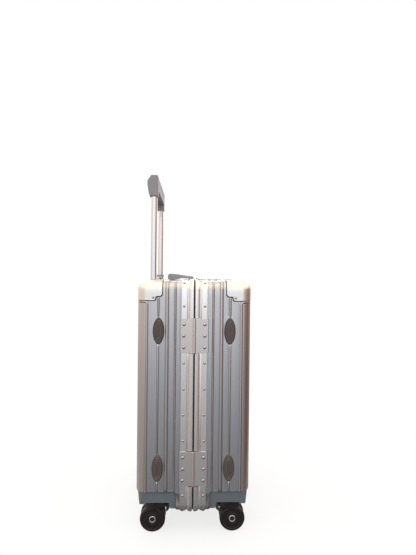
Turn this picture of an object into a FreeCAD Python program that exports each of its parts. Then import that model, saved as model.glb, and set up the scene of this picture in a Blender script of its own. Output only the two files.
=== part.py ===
import FreeCAD, Part
import math
import operator
import os
from types import SimpleNamespace

from FreeCAD import Placement, Rotation, Vector
import Sketcher

# A ribbed cabin case in an aluminium frame, standing on four twin-wheel casters.
# Row frame: +Z up from the floor, +Y towards the back (trolley) half, hinges at -X, latches at +X.
# The corner, hinge and handle pieces are drawn once, on the back half and the hinge side, and mirrored.

doc = FreeCAD.newDocument("cabin_case")
sheet = doc.addObject("Spreadsheet::Sheet", "Sizes")

WORK = {"+": operator.add, "-": operator.sub, "*": operator.mul, "/": operator.truediv}


class Size:
    """A length: its number, and the expression that gives it from the sheet."""

    def __init__(self, value, text):
        self.value = value
        self.text = text

    @staticmethod
    def join(left, sign, right):
        return Size(WORK[sign](number(left), number(right)), f"({text(left)} {sign} {text(right)})")

    def __neg__(self):
        return Size(-self.value, f"(0 - {self.text})")

    def __add__(self, other):
        return Size.join(self, "+", other)

    def __radd__(self, other):
        return Size.join(other, "+", self)

    def __sub__(self, other):
        return Size.join(self, "-", other)

    def __rsub__(self, other):
        return Size.join(other, "-", self)

    def __mul__(self, other):
        return Size.join(self, "*", other)

    __rmul__ = __mul__

    def __truediv__(self, other):
        return Size.join(self, "/", other)


def number(size):
    return size.value if isinstance(size, Size) else float(size)


def text(size):
    return size.text if isinstance(size, Size) else f"({float(size):.6g})"


def driving(**values):
    """Writes the driving dimensions into the sheet and hands them back by name."""
    for row, (alias, value) in enumerate(values.items(), 1):
        sheet.set(f"A{row}", alias)
        sheet.set(f"B{row}", str(value))
        sheet.setAlias(f"B{row}", alias)
    doc.recompute()
    return SimpleNamespace(**{alias: Size(value, "Sizes." + alias) for alias, value in values.items()})


d = driving(
    # case
    case_width=370, case_depth=244, case_top=553, case_floor=51, edge_round=19, sheet_gauge=1.6,
    bead_height=1.3, row_shift=-3.75,
    # frame extrusion, measured from the parting plane and outwards from the sheet
    parting_gap=1.6, bead_edge=11.5, strip_inner=15.5, strip_outer=28.5, strip_height=1.8,
    bead_crest=4, flange_depth=3.7, rivet_line=22.5, rivet_radius=2.8, rivet_height=1,
    # hinges
    hinge_high=435, hinge_low=148, hinge_half=37, leaf_reach=30, leaf_gauge=1.6, barrel_radius=3.5,
    axis_out=4, pin_radius=1.5,
    # casters and their housings
    swivel_x=151, swivel_y=76.5, wheel_y=88, wheel_radius=28, wheel_width=13.5, axle_radius=3,
    hood_radius=29.5, well_radius=37.8, well_top=70.5, housing_top=95.4, housing_y=36.5, housing_x=110.5,
    housing_round=10,
    # trolley
    tube_y=96, tube_x=105, far_lift=11, grip_top=797, leg_end=748, bar_under=764,
    # side feet
    foot_y=77, foot_height=8.5, foot_length=58, foot_breadth=25,
    # carry handles
    handle_half=74.5, arm_width=17, pivot_y=9, pivot_out=6.2,
    # corner caps
    cap_y=70, cap_x=133, cap_end=511, cap_step=520,
    # linings
    lining_gap=6, lining_skin=1.2,
)

half_width = d.case_width / 2
half_depth = d.case_depth / 2
case_middle = (d.case_top + d.case_floor) / 2
BEYOND = 40          # how far a cutting block reaches past what it cuts


# ---- building blocks ---------------------------------------------------------------------------

def bind(obj, **sizes):
    for prop, size in sizes.items():
        if isinstance(size, Size):
            obj.setExpression(prop, size.text)
        else:
            setattr(obj, prop, size)


def place(obj, at, turn=None):
    obj.Placement = Placement(Vector(*[number(a) for a in at]), turn or Rotation())
    for axis, size in zip("xyz", at):
        if isinstance(size, Size):
            obj.setExpression(f".Placement.Base.{axis}", size.text)
    return obj


def box(name, x, y, z):
    obj = doc.addObject("Part::Box", name)
    bind(obj, Length=x[1] - x[0], Width=y[1] - y[0], Height=z[1] - z[0])
    return place(obj, (x[0], y[0], z[0]))


ALONG = {
    "x": Rotation(Vector(0, 1, 0), 90),
    "-x": Rotation(Vector(0, 1, 0), -90),
    "y": Rotation(Vector(1, 0, 0), -90),
    "z": Rotation(),
    "-z": Rotation(Vector(1, 0, 0), 180),
}


def rod(name, start, axis, length, radius):
    obj = doc.addObject("Part::Cylinder", name)
    bind(obj, Radius=radius, Height=length)
    return place(obj, start, ALONG[axis])


def cut(name, base, *tools):
    for step, tool in enumerate(tools):
        obj = doc.addObject("Part::Cut", name if step == len(tools) - 1 else f"{name}_step{step}")
        obj.Base = base
        obj.Tool = tool
        base = obj
    return base


def common(name, first, second):
    obj = doc.addObject("Part::MultiCommon", name)
    obj.Shapes = [first, second]
    return obj


def fuse(name, *pieces):
    obj = doc.addObject("Part::MultiFuse", name)
    obj.Shapes = list(pieces)
    return obj


def group(name, *pieces):
    obj = doc.addObject("Part::Compound", name)
    obj.Links = list(pieces)
    return obj


def mirror(name, source, axis):
    """Mirrors across the case's middle (x), its parting plane (y) or a stated level (z)."""
    obj = doc.addObject("Part::Mirroring", name)
    obj.Source = source
    level = axis[1] if isinstance(axis, tuple) else (d.row_shift if axis == "x" else 0)
    letter = axis[0]
    obj.Normal = Vector(letter == "x", letter == "y", letter == "z")
    if isinstance(level, Size):
        obj.setExpression(f".Base.{letter}", level.text)
    return obj


PLANES = {"XY": "XY_Plane", "XZ": "XZ_Plane", "YZ": "YZ_Plane"}


def sketch_on(body, plane, offset=0):
    sketch = body.newObject("Sketcher::SketchObject", body.Name + "_sketch")
    role = {o.Role: o for o in body.Origin.OriginFeatures}[PLANES[plane]]
    sketch.AttachmentSupport = (role, "")
    sketch.MapMode = "FlatFace"
    sketch.AttachmentOffset = Placement(Vector(0, 0, number(offset)), Rotation())
    if isinstance(offset, Size):
        sketch.setExpression(".AttachmentOffset.Base.z", offset.text)
    return sketch


def tie(sketch, geometry, point, at):
    """Ties one point of the sketch to its sizes, measured from the sketch's origin."""
    for kind, size in zip(("DistanceX", "DistanceY"), at):
        index = sketch.addConstraint(Sketcher.Constraint(kind, -1, 1, geometry, point, number(size)))
        if isinstance(size, Size):
            sketch.setExpression(f"Constraints[{index}]", size.text)


def polygon(sketch, points):
    corners = [Vector(number(a), number(b), 0) for a, b in points]
    first = sketch.GeometryCount
    count = len(corners)
    sketch.addGeometry([Part.LineSegment(corners[i], corners[(i + 1) % count]) for i in range(count)])
    for i in range(count):
        after = first + (i + 1) % count
        sketch.addConstraint(Sketcher.Constraint("Coincident", first + i, 2, after, 1))
        tie(sketch, first + i, 1, points[i])


def rounded_rectangle(sketch, across, up, radius, seam=False):
    """Four sides and four arcs; seam splits the lower side at the sketch's origin line."""
    (left, right), (low, high) = across, up
    centres = [(right - radius, low + radius), (right - radius, high - radius),
               (left + radius, high - radius), (left + radius, low + radius)]
    reach = number(radius)
    shapes = []
    for turn, centre in enumerate(centres):
        at = Vector(number(centre[0]), number(centre[1]), 0)
        begin = math.radians(90 * turn - 90)
        arc = Part.ArcOfCircle(Part.Circle(at, Vector(0, 0, 1), reach), begin, begin + math.pi / 2)
        shapes.append(arc)
    first = sketch.GeometryCount
    sketch.addGeometry(shapes)
    sides = []
    for turn in range(4):
        start, end = shapes[turn].EndPoint, shapes[(turn + 1) % 4].StartPoint
        if turn == 3 and seam:
            middle = Vector(0, start.y, 0)
            sides += [Part.LineSegment(start, middle), Part.LineSegment(middle, end)]
        else:
            sides.append(Part.LineSegment(start, end))
    sketch.addGeometry(sides)
    for turn, centre in enumerate(centres):
        tie(sketch, first + turn, 3, centre)
        rule = sketch.addConstraint(Sketcher.Constraint("Radius", first + turn, reach))
        if isinstance(radius, Size):
            sketch.setExpression(f"Constraints[{rule}]", radius.text)
        side = first + 4 + turn
        last = side + 1 if turn == 3 and seam else side
        sketch.addConstraint(Sketcher.Constraint("Tangent", first + turn, 2, side, 1))
        sketch.addConstraint(Sketcher.Constraint("Tangent", last, 2, first + (turn + 1) % 4, 1))
        if last != side:
            sketch.addConstraint(Sketcher.Constraint("Coincident", side, 2, last, 1))
            sketch.addConstraint(Sketcher.Constraint("DistanceX", -1, 1, side, 2, 0))


def prism(name, plane, draw, span):
    """A body padded from the outline that draw makes, over a span of the third axis."""
    body = doc.addObject("PartDesign::Body", name)
    low, high = span
    sketch = sketch_on(body, plane, -high if plane == "XZ" else low)
    draw(sketch)
    pad = body.newObject("PartDesign::Pad", name + "_pad")
    pad.Profile = sketch
    bind(pad, Length=high - low)
    body.Tip = pad
    return body


def soften(body, radius, picked=None):
    """Rounds the edges of a body: all of them, or those that picked accepts."""
    doc.recompute()
    tip = body.Tip
    fillet = body.newObject("PartDesign::Fillet", body.Name + "_rounding")
    names = [f"Edge{i}" for i, edge in enumerate(tip.Shape.Edges, 1) if picked and picked(edge)]
    fillet.Base = (tip, names or ["Edge1"])
    fillet.UseAllEdges = picked is None
    bind(fillet, Radius=radius)
    body.Tip = fillet
    return body


def turned(name, points, at, turn=None):
    """A body revolved about its own X axis from an outline of (along, radius) points."""
    body = doc.addObject("PartDesign::Body", name)
    sketch = sketch_on(body, "XY")
    polygon(sketch, points)
    spin = body.newObject("PartDesign::Revolution", name + "_turned")
    spin.Profile = sketch
    spin.ReferenceAxis = (sketch, ["H_Axis"])
    spin.Angle = 360
    body.Tip = spin
    return place(body, at, turn)


def case_block(name, grow=0):
    """The case's outside as one block with rounded edges, grown or shrunk all round."""
    body = doc.addObject("PartDesign::Body", name)
    block = body.newObject("PartDesign::AdditiveBox", name + "_block")
    bind(block, Length=d.case_width + 2 * grow, Width=d.case_depth + 2 * grow)
    bind(block, Height=d.case_top - d.case_floor + 2 * grow)
    place(block, (d.row_shift - half_width - grow, -half_depth - grow, d.case_floor - grow))
    body.Tip = block
    return soften(body, d.edge_round + grow)


def across_x(low, high):
    """A span of X given from the case's middle."""
    return (d.row_shift + low, d.row_shift + high)


# ---- case halves -------------------------------------------------------------------------------
# Pressed aluminium sheet. Low beads run round the sides, top and bottom at constant depth, upright
# beads stiffen the big faces, and one bead frames each upright corner column.

outside = case_block("outside")
bead_layer = case_block("bead_layer", d.bead_height)
inside = case_block("inside", -d.sheet_gauge)

wide_x = across_x(-half_width - BEYOND, half_width + BEYOND)
tall_z = (d.case_floor - BEYOND, d.case_top + BEYOND)
side_beads = [(78, 3.8), (59, 7), (41, 3.2)]
face_bead_pitch, face_bead_width = 24, 5
face_bead_z = (104, 504)
column_head = (505.5, 510.5)
column_y, column_x = (99.5, 105), (162.5, 168)

bands = [box(f"side_band{i}", wide_x, (at - wide / 2, at + wide / 2), tall_z)
         for i, (at, wide) in enumerate(side_beads)]
for i in range(-6, 7):
    middle = i * face_bead_pitch
    bands.append(box(f"face_band{i + 6}",
                     across_x(middle - face_bead_width / 2, middle + face_bead_width / 2),
                     (half_depth - 1, half_depth + 9), face_bead_z))
column_z = (d.housing_top, column_head[1])
for side, sign in {"hinge": -1, "latch": 1}.items():
    skin = sorted((sign * (half_width - 2), sign * (half_width + 9)), key=number)
    bands.append(box(f"column_band_{side}", across_x(*skin), column_y, column_z))
    face = sorted(sign * x for x in column_x)
    bands.append(box(f"column_face_{side}", across_x(*face), (half_depth - 2, half_depth + 9), column_z))
    head = sorted((sign * column_x[0], sign * 200))
    bands.append(box(f"column_head_{side}", across_x(*head), (column_y[0], 140), column_head))
doc.recompute()
beads = common("beads", bead_layer, fuse("bead_bands", *bands))


def corner_boxes(name, x_from, y_from, z):
    """Two blocks, hinge side and latch side, that take one back corner of the case."""
    return [box(f"{name}_{side}", span, (y_from, half_depth + BEYOND), z)
            for side, span in {"hinge": across_x(-half_width - BEYOND, -x_from),
                               "latch": across_x(x_from, half_width + BEYOND)}.items()]


def housing_corner(name, gap):
    """The corner that a caster housing fills, with a gap round it: rounded at the top in both faces."""
    top, low = d.housing_top + gap, d.case_floor - 3 * BEYOND
    radius = d.housing_round + gap
    side = prism(name + "_side", "YZ",
                 lambda s: rounded_rectangle(s, (d.housing_y - gap, half_depth + 2 * BEYOND),
                                             (low, top), radius),
                 across_x(-half_width - BEYOND, -d.housing_x + gap))
    face = prism(name + "_face", "XZ",
                 lambda s: rounded_rectangle(s, across_x(-half_width - 2 * BEYOND, -d.housing_x + gap),
                                             (low, top), radius),
                 (d.housing_y - gap, half_depth + BEYOND))
    return common(name, side, face)


cap_room = corner_boxes("cap_room", d.cap_x - 1, d.cap_y - 1, (d.cap_end - 0.5, d.case_top + BEYOND))
housing_room = housing_corner("housing_room", 0.2)
housing_rooms = [housing_room, mirror("housing_room_latch", housing_room, "x")]
foot_room = [box(f"foot_room{i}", across_x(-half_width - BEYOND, -half_width + 5),
                 (d.foot_y - 14, d.foot_y + 14), (level - 31, level + 31))
             for i, level in enumerate((d.hinge_high + 10, d.hinge_low + 1))]
clear_beads = cut("clear_beads", beads, *cap_room, *foot_room)

solid = fuse("beaded_block", outside, clear_beads)
back_room = box("back_room", wide_x, (d.strip_inner + 0.5, half_depth + BEYOND), tall_z)
half = cut("half_shell", common("back_block", solid, back_room), inside, *housing_rooms)
front_shell = mirror("front_shell", half, "y")

tube_holes = [box(f"tube_hole_{side}", across_x(mid - 14, mid + 14), (d.tube_y - 11.2, d.tube_y + 11.2),
                  (d.case_top - 20, d.case_top + 20))
              for side, mid in {"near": -d.tube_x, "far": d.tube_x}.items()]
back_shell = cut("back_shell", half, *tube_holes)


# ---- frame extrusions and seal -----------------------------------------------------------------
# One section runs all round each half: a flange inside the sheet, a riveted strip outside it, a
# groove, and a bead that rises to the parting plane.

def ring(name, section):
    body = doc.addObject("PartDesign::Body", name)
    path = sketch_on(body, "XZ")
    rounded_rectangle(path, across_x(-half_width, half_width), (d.case_floor, d.case_top), d.edge_round,
                      seam=True)
    profile = sketch_on(body, "YZ")
    polygon(profile, [(depth, d.case_floor - out) for depth, out in section])
    pipe = body.newObject("PartDesign::AdditivePipe", name + "_pipe")
    pipe.Profile = profile
    pipe.Spine = path
    body.Tip = pipe
    return body


frame_section = [
    (d.parting_gap, d.bead_crest - 0.3), (d.parting_gap + 0.8, d.bead_crest), (5, d.bead_crest - 0.7),
    (8.5, d.bead_crest - 2.2), (d.bead_edge, 0),
    (d.strip_inner, 0), (d.strip_inner, d.strip_height), (d.strip_outer - 0.5, d.strip_height),
    (d.strip_outer, d.strip_height - 0.5), (d.strip_outer, 0.1), (d.strip_inner + 0.4, 0.1),
    (d.strip_inner + 0.4, -d.sheet_gauge - 0.1), (d.strip_outer, -d.sheet_gauge - 0.1),
    (d.strip_outer, -d.flange_depth), (d.parting_gap, -d.flange_depth),
]
frame_ring = ring("frame_ring", frame_section)
seal_section = [(-1.3, -3), (-1.3, 0.2), (d.parting_gap, 0.2), (d.parting_gap, -3)]
frame_seal = ring("frame_seal", seal_section)

# the bead is milled flat under the hinges and the handle mounts
hinge_flats = [box(f"hinge_flat{i}", across_x(-half_width - 9, -half_width), (0, d.strip_inner - 0.01),
                   (level - d.hinge_half - 1, level + d.hinge_half + 1))
               for i, level in enumerate((d.hinge_high, d.hinge_low))]
mount_span = (d.handle_half - d.arm_width - 4.6, d.handle_half + 4.6)
mount_flats = []
for sign in (-1, 1):
    low, high = (mount_span[0], mount_span[1]) if sign > 0 else (-mount_span[1], -mount_span[0])
    mount_flats.append(box(f"top_flat{sign + 1}", across_x(low, high), (0, d.strip_inner - 0.01),
                           (d.case_top, d.case_top + 9)))
    mount_flats.append(box(f"side_flat{sign + 1}", across_x(half_width, half_width + 9),
                           (0, d.strip_inner - 0.01), (case_middle + low, case_middle + high)))
hinged_ring = cut("hinged_ring", frame_ring, *hinge_flats)
back_frame = cut("back_frame", hinged_ring, *mount_flats)
front_frame = mirror("front_frame", hinged_ring, "y")


# ---- top corner caps ---------------------------------------------------------------------------
# Pressed three-lobed cap over each top corner; a step in its lower edge clears the column bead.

cap_skin = cut("cap_skin", case_block("cap_outside", 1.3), case_block("cap_inside", 0.1))
cap_corner = box("cap_corner", across_x(-half_width - BEYOND, -d.cap_x), (d.cap_y, half_depth + BEYOND),
                 (d.cap_end, d.case_top + BEYOND))
cap_steps = [
    box("cap_step_side", across_x(-half_width - BEYOND, -half_width + 12), (d.cap_y - 1, 84.5),
        (d.cap_end - 1, d.cap_step)),
    box("cap_step_face", across_x(-147.5, -d.cap_x + 1), (half_depth - 12, half_depth + BEYOND),
        (d.cap_end - 1, d.cap_step)),
]
cap = cut("corner_cap_back_hinge", common("cap_raw", cap_skin, cap_corner), *cap_steps)
caps = {
    "corner_cap_back_hinge": cap,
    "corner_cap_back_latch": mirror("corner_cap_back_latch", cap, "x"),
    "corner_cap_front_hinge": mirror("corner_cap_front_hinge", cap, "y"),
}
caps["corner_cap_front_latch"] = mirror("corner_cap_front_latch", caps["corner_cap_back_latch"], "y")


# ---- caster housings ---------------------------------------------------------------------------
# Moulded corner block with a round well for the wheels, an arch in both outer walls and a relief
# above the well's roof.

def arch(name, plane, middle, span):
    """The arch's outline about the swivel axis: a quarter round, a flat top and a lower lip."""
    roof, lip, floor = d.well_top, d.well_top - 3, d.case_floor - 5
    sign = -1 if plane == "XZ" else 1
    steps = [(-26.5, floor), (-26.5, roof - 13.5), (-24.5, roof - 6.5), (-19.5, roof - 1.5), (-13.5, roof),
             (20.5, roof), (20.5, lip), (60, lip), (60, floor)]
    return prism(name, plane, lambda s: polygon(s, [(middle + sign * u, z) for u, z in steps]), span)


housing_inset, draft = 2, 7
below = d.case_floor - BEYOND


def draft_wedge(name, plane, surface, outwards, span):
    """Takes the moulding's draft off one outer face, from nothing at its top edge."""
    top, foot = surface - outwards * housing_inset, surface - outwards * (housing_inset + draft)
    past = surface + outwards * BEYOND
    corners = [(top, d.housing_top), (past, d.housing_top), (past, below), (foot, d.case_floor)]
    return prism(name, plane, lambda s: polygon(s, corners), span)


side_draft = draft_wedge("housing_side_draft", "XZ", d.row_shift - half_width, -1,
                         (d.housing_y - 5, half_depth + BEYOND))
face_draft = draft_wedge("housing_face_draft", "YZ", half_depth, 1,
                         across_x(-half_width - BEYOND, -d.housing_x + 5))
housing_block = cut("housing_block",
                    common("housing_raw", case_block("housing_outside", -housing_inset),
                           housing_corner("housing_block_corner", 0)),
                    side_draft, face_draft)
swivel_at = (d.row_shift - d.swivel_x, d.swivel_y)
well = rod("well", (*swivel_at, d.case_floor - 5), "z", d.well_top - d.case_floor + 5, d.well_radius)
pin_hole = rod("pin_hole", (*swivel_at, d.well_top - 5), "z", 15, 4)
relief = common("relief", case_block("housing_inside", -9),
                box("relief_room", across_x(-half_width - BEYOND, 0), (0, half_depth + BEYOND),
                    (d.well_top + 4, d.housing_top + 5)))
side_arch = arch("side_arch", "YZ", d.swivel_y, across_x(-half_width - BEYOND, -d.swivel_x))
face_arch = arch("face_arch", "XZ", d.row_shift - d.swivel_x, (d.swivel_y, half_depth + BEYOND))
housing = cut("caster_housing_back_hinge", housing_block, well, pin_hole, relief, side_arch, face_arch)
housings = {
    "caster_housing_back_hinge": housing,
    "caster_housing_back_latch": mirror("caster_housing_back_latch", housing, "x"),
    "caster_housing_front_hinge": mirror("caster_housing_front_hinge", housing, "y"),
}
housings["caster_housing_front_latch"] = mirror(
    "caster_housing_front_latch", housings["caster_housing_back_latch"], "y")


# ---- casters -----------------------------------------------------------------------------------
# A fork with a round hood turns on a headed pin; two wheels run on one tubular axle.

head_under = 58.2
pin = fuse("swivel_pin",
           rod("pin_shank", (*swivel_at, head_under), "z", d.well_top + 5.5 - head_under, 3.95),
           rod("pin_head", (*swivel_at, head_under), "z", 2, 6))
pin_other = mirror("swivel_pin_latch", pin, "x")
swivel_pins_back = group("swivel_pins_back", pin, pin_other)
swivel_pins_front = mirror("swivel_pins_front", swivel_pins_back, "y")

hood_y = d.swivel_y + 4
hood_z = (57.3, d.well_top - 1)
hood = rod("hood", (d.row_shift - d.swivel_x, hood_y, hood_z[0]), "z", hood_z[1] - hood_z[0], d.hood_radius)
stem_outline = [(62, 57.3), (62, 60), (108, 60), (108, 57.3), (98, 30), (94, 22), (88, 20), (82, 22),
                (76, 34)]
stem = prism("stem", "YZ", lambda s: polygon(s, stem_outline),
             across_x(-d.swivel_x - 4.5, -d.swivel_x + 4.5))
apron_round = rod("apron_round", (d.row_shift - d.swivel_x, hood_y, 46), "z", 12, d.hood_radius)
apron = common("apron", apron_round,
               box("apron_room", across_x(-half_width, -100), (50, 58), (46, 58)))
apron_hollow = rod("apron_hollow", (d.row_shift - d.swivel_x, hood_y, 45), "z", 12.3, d.hood_radius - 2.5)
fork_solid = fuse("fork_solid", hood, stem, cut("apron_shell", apron, apron_hollow))
head_pocket = rod("head_pocket", (*swivel_at, 50), "z", 10.5, 6.3)
shank_bore = rod("shank_bore", (*swivel_at, 50), "z", 20, 4)
axle_bore = rod("axle_bore", (d.row_shift - d.swivel_x - 10, d.wheel_y, d.wheel_radius), "x", 20,
                d.axle_radius)
fork = cut("caster_fork_back_hinge", fork_solid, head_pocket, shank_bore, axle_bore)

axle_half = 4.8 + d.wheel_width - 0.6
axle_points = [(-axle_half, 3.6), (-axle_half, 7.4), (1.6 - axle_half, 7.4), (1.6 - axle_half, d.axle_radius),
               (axle_half - 1.6, d.axle_radius), (axle_half - 1.6, 7.4), (axle_half, 7.4), (axle_half, 3.6),
               (axle_half - 1, 3.6), (axle_half - 2.4, 1.2), (2.4 - axle_half, 1.2), (1 - axle_half, 3.6)]
axle_at = (d.row_shift - d.swivel_x, d.wheel_y, d.wheel_radius)
axle = turned("caster_axle_back_hinge", axle_points, axle_at)

wheel_points = [(0, d.axle_radius + 0.05), (0, 24), (1.2, 26.6), (4, d.wheel_radius),
                (9.5, d.wheel_radius), (12.2, 26.6), (d.wheel_width, 24), (d.wheel_width, 10),
                (d.wheel_width - 2.6, 10), (d.wheel_width - 2.6, d.axle_radius + 0.05)]


def wheel(name, outwards):
    sign = -1 if outwards else 1
    start = (axle_at[0] + sign * 4.9, axle_at[1], axle_at[2])
    return turned(name, wheel_points, start, Rotation(Vector(0, 0, 1), 180) if outwards else None)


caster_pieces = {
    "caster_fork": fork,
    "caster_axle": axle,
    "outer_wheel": wheel("outer_wheel_back_hinge", True),
    "inner_wheel": wheel("inner_wheel_back_hinge", False),
}
casters = {}
for piece, source in caster_pieces.items():
    casters[f"{piece}_back_hinge"] = source
    casters[f"{piece}_back_latch"] = mirror(f"{piece}_back_latch", source, "x")
    casters[f"{piece}_front_hinge"] = mirror(f"{piece}_front_hinge", source, "y")
    casters[f"{piece}_front_latch"] = mirror(f"{piece}_front_latch", casters[f"{piece}_back_latch"], "y")


# ---- hinges ------------------------------------------------------------------------------------
# Butt hinges: a plate over the strip and half of the barrel on each leaf, round one pin.

def hinge_leaf(name, level):
    face = -half_width - d.strip_height
    plate = prism(name + "_plate", "YZ",
                  lambda s: rounded_rectangle(s, (4.2, d.leaf_reach),
                                              (level - d.hinge_half, level + d.hinge_half), 3),
                  across_x(face - d.leaf_gauge, face))
    web = box(name + "_web", across_x(face - d.leaf_gauge, face), (0, 6),
              (level + 0.2, level + d.hinge_half - 1))
    knuckle_at = (d.row_shift - half_width - d.axis_out, 0, level + 0.2)
    knuckle = rod(name + "_knuckle", knuckle_at, "z", d.hinge_half + 0.3, d.barrel_radius)
    bore = rod(name + "_bore", (*knuckle_at[:2], level - 50), "z", 100, d.pin_radius + 0.05)
    return cut(name, fuse(name + "_solid", plate, web, knuckle), bore)


leaves_back, leaves_front, pins = [], [], []
for where, level in {"upper": d.hinge_high, "lower": d.hinge_low}.items():
    leaf = hinge_leaf(f"leaf_{where}", level)
    leaves_back.append(leaf)
    flipped = mirror(f"leaf_{where}_across", leaf, "y")
    leaves_front.append(mirror(f"leaf_{where}_front", flipped, ("z", level)))
    pin_foot = (d.row_shift - half_width - d.axis_out, 0, level - d.hinge_half - 0.8)
    pins.append(rod(f"pin_{where}", pin_foot, "z", 2 * d.hinge_half + 1.6, d.pin_radius))


# ---- rivets ------------------------------------------------------------------------------------
# Low cone heads along both strips, on the hinge leaves and at two lobes of each corner cap.

def rivet(name, at, axis, turn=None):
    head = doc.addObject("Part::Cone", name)
    bind(head, Radius1=d.rivet_radius, Radius2=d.rivet_radius - 1.1, Height=d.rivet_height)
    return place(head, at, turn or ALONG[axis])


side_levels = [90, 208, 264, 320, 376, 499]
end_places = [-140, -84, -28, 28, 84, 140]
leaf_pitch = 24.8
cap_rivet_y, cap_rivet_x, cap_rivet_z = 89, 152, 517.5
strip_out = half_width + d.strip_height
rivets = []
for i, level in enumerate(side_levels):
    rivets.append(rivet(f"rivet_hinge_side{i}", (d.row_shift - strip_out, d.rivet_line, level), "-x"))
    rivets.append(rivet(f"rivet_latch_side{i}", (d.row_shift + strip_out, d.rivet_line, level), "x"))
for i, level in enumerate((d.hinge_high, d.hinge_low)):
    for j in (-1, 0, 1):
        at = (d.row_shift - strip_out - d.leaf_gauge, d.rivet_line, level + leaf_pitch * j)
        rivets.append(rivet(f"rivet_leaf{i}{j + 1}", at, "-x"))
for i, offset in enumerate(end_places):
    at = (d.row_shift + offset, d.rivet_line, d.case_top + d.strip_height)
    rivets.append(rivet(f"rivet_top{i}", at, "z"))
    if abs(offset) < number(d.housing_x):
        at = (d.row_shift + offset, d.rivet_line, d.case_floor - d.strip_height)
        rivets.append(rivet(f"rivet_bottom{i}", at, "-z"))
slant = (d.edge_round + d.strip_height + 0.25) * math.sqrt(0.5)
for i, (sx, sz) in enumerate([(-1, -1), (-1, 1), (1, -1), (1, 1)]):
    at = (d.row_shift + sx * (half_width - d.edge_round + slant), d.rivet_line,
          case_middle + sz * ((d.case_top - d.case_floor) / 2 - d.edge_round + slant))
    rivets.append(rivet(f"rivet_corner{i}", at, None, Rotation(Vector(0, 0, 1), Vector(sx, 0, sz))))
for sign, axis in ((-1, "-x"), (1, "x")):
    at = (d.row_shift + sign * (half_width + d.bead_height), cap_rivet_y, cap_rivet_z)
    rivets.append(rivet(f"rivet_cap_side{sign + 1}", at, axis))
    at = (d.row_shift + sign * cap_rivet_x, half_depth + d.bead_height, cap_rivet_z)
    rivets.append(rivet(f"rivet_cap_face{sign + 1}", at, "y"))
rivets_back = group("rivets_back", *rivets)
rivets_front = mirror("rivets_front", rivets_back, "y")


# ---- side feet ---------------------------------------------------------------------------------
# Oval stepped feet that the case lies on.

def oval(sketch, breadth, length, level):
    rounded_rectangle(sketch, (d.foot_y - breadth / 2, d.foot_y + breadth / 2),
                      (level - length / 2, level + length / 2), breadth / 2 - 0.01)


def side_foot(name, level):
    steps = []
    base = d.row_shift - half_width
    for i, (inset, low, high) in enumerate([(0, 0, 3.5), (2.2, 3.5, 6.5), (5, 6.5, d.foot_height)]):
        breadth, length = d.foot_breadth - 2 * inset, d.foot_length - 2 * inset
        steps.append(prism(f"{name}_step{i}", "YZ",
                           lambda s, breadth=breadth, length=length: oval(s, breadth, length, level),
                           (base - high, base - low)))
    return fuse(name, *steps)


feet = [side_foot("side_foot_upper", d.hinge_high + 10), side_foot("side_foot_lower", d.hinge_low + 1)]
side_feet_back = group("side_feet_back", *feet)
side_feet_front = mirror("side_feet_front", side_feet_back, "y")


# ---- trolley -----------------------------------------------------------------------------------
# Three rounded-oblong tubes in each side; the grip joins the two inner tubes.

def tube_bar(name, middle, breadth, thickness, z, radius):
    draw = lambda s: rounded_rectangle(s, across_x(middle - breadth / 2, middle + breadth / 2),
                                       (d.tube_y - thickness / 2, d.tube_y + thickness / 2), radius)
    return prism(name, "XY", draw, z)


def tube(name, middle, outer, bore, z):
    body = tube_bar(name + "_outside", middle, *outer, z, 5)
    hollow = tube_bar(name + "_bore", middle, *bore, (z[0] - 5, z[1] + 5), 4)
    return cut(name, body, hollow)


INNER, INNER_BORE = (19, 13.5), (16.6, 11.1)
MIDDLE, MIDDLE_BORE = (23, 17.5), (19.6, 14.1)
OUTER, OUTER_BORE = (27, 21.5), (23.6, 18.1)
COLLAR = (24.2, 18.7)
collar_height = 5
middle_top = d.case_top - 2.5
sides = {"near": -d.tube_x, "far": d.tube_x}
lifts = {"near": 0, "far": d.far_lift}
trolley = {}
outer_tubes, inner_tubes = [], []
for side, middle in sides.items():
    lift = lifts[side]
    outer_tubes.append(tube(f"outer_tube_{side}", middle, OUTER, OUTER_BORE, (75, d.case_top - 3.5)))
    inner_tubes.append(tube(f"inner_tube_{side}", middle, INNER, INNER_BORE, (270, 785)))
    top = middle_top + lift
    sleeve, collar = f"trolley_middle_tube_{side}", f"trolley_collar_{side}"
    trolley[sleeve] = tube(sleeve, middle, MIDDLE, MIDDLE_BORE, (82 + lift, top))
    trolley[collar] = tube(collar, middle, COLLAR, MIDDLE_BORE, (top, top + collar_height))
trolley["trolley_outer_tubes"] = group("trolley_outer_tubes", *outer_tubes)
trolley["trolley_inner_tubes"] = group("trolley_inner_tubes", *inner_tubes)

bezel_plate = tube_bar("bezel_plate", 0, 2 * d.tube_x + 38, 28, (d.case_top + 0.1, d.case_top + 2.1), 9)
bezel_holes = [tube_bar(f"bezel_hole_{side}", middle, 25, 19.5, (d.case_top - 5, d.case_top + 10), 5.5)
               for side, middle in sides.items()]
trolley["trolley_bezel"] = cut("trolley_bezel", bezel_plate, *bezel_holes)

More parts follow.
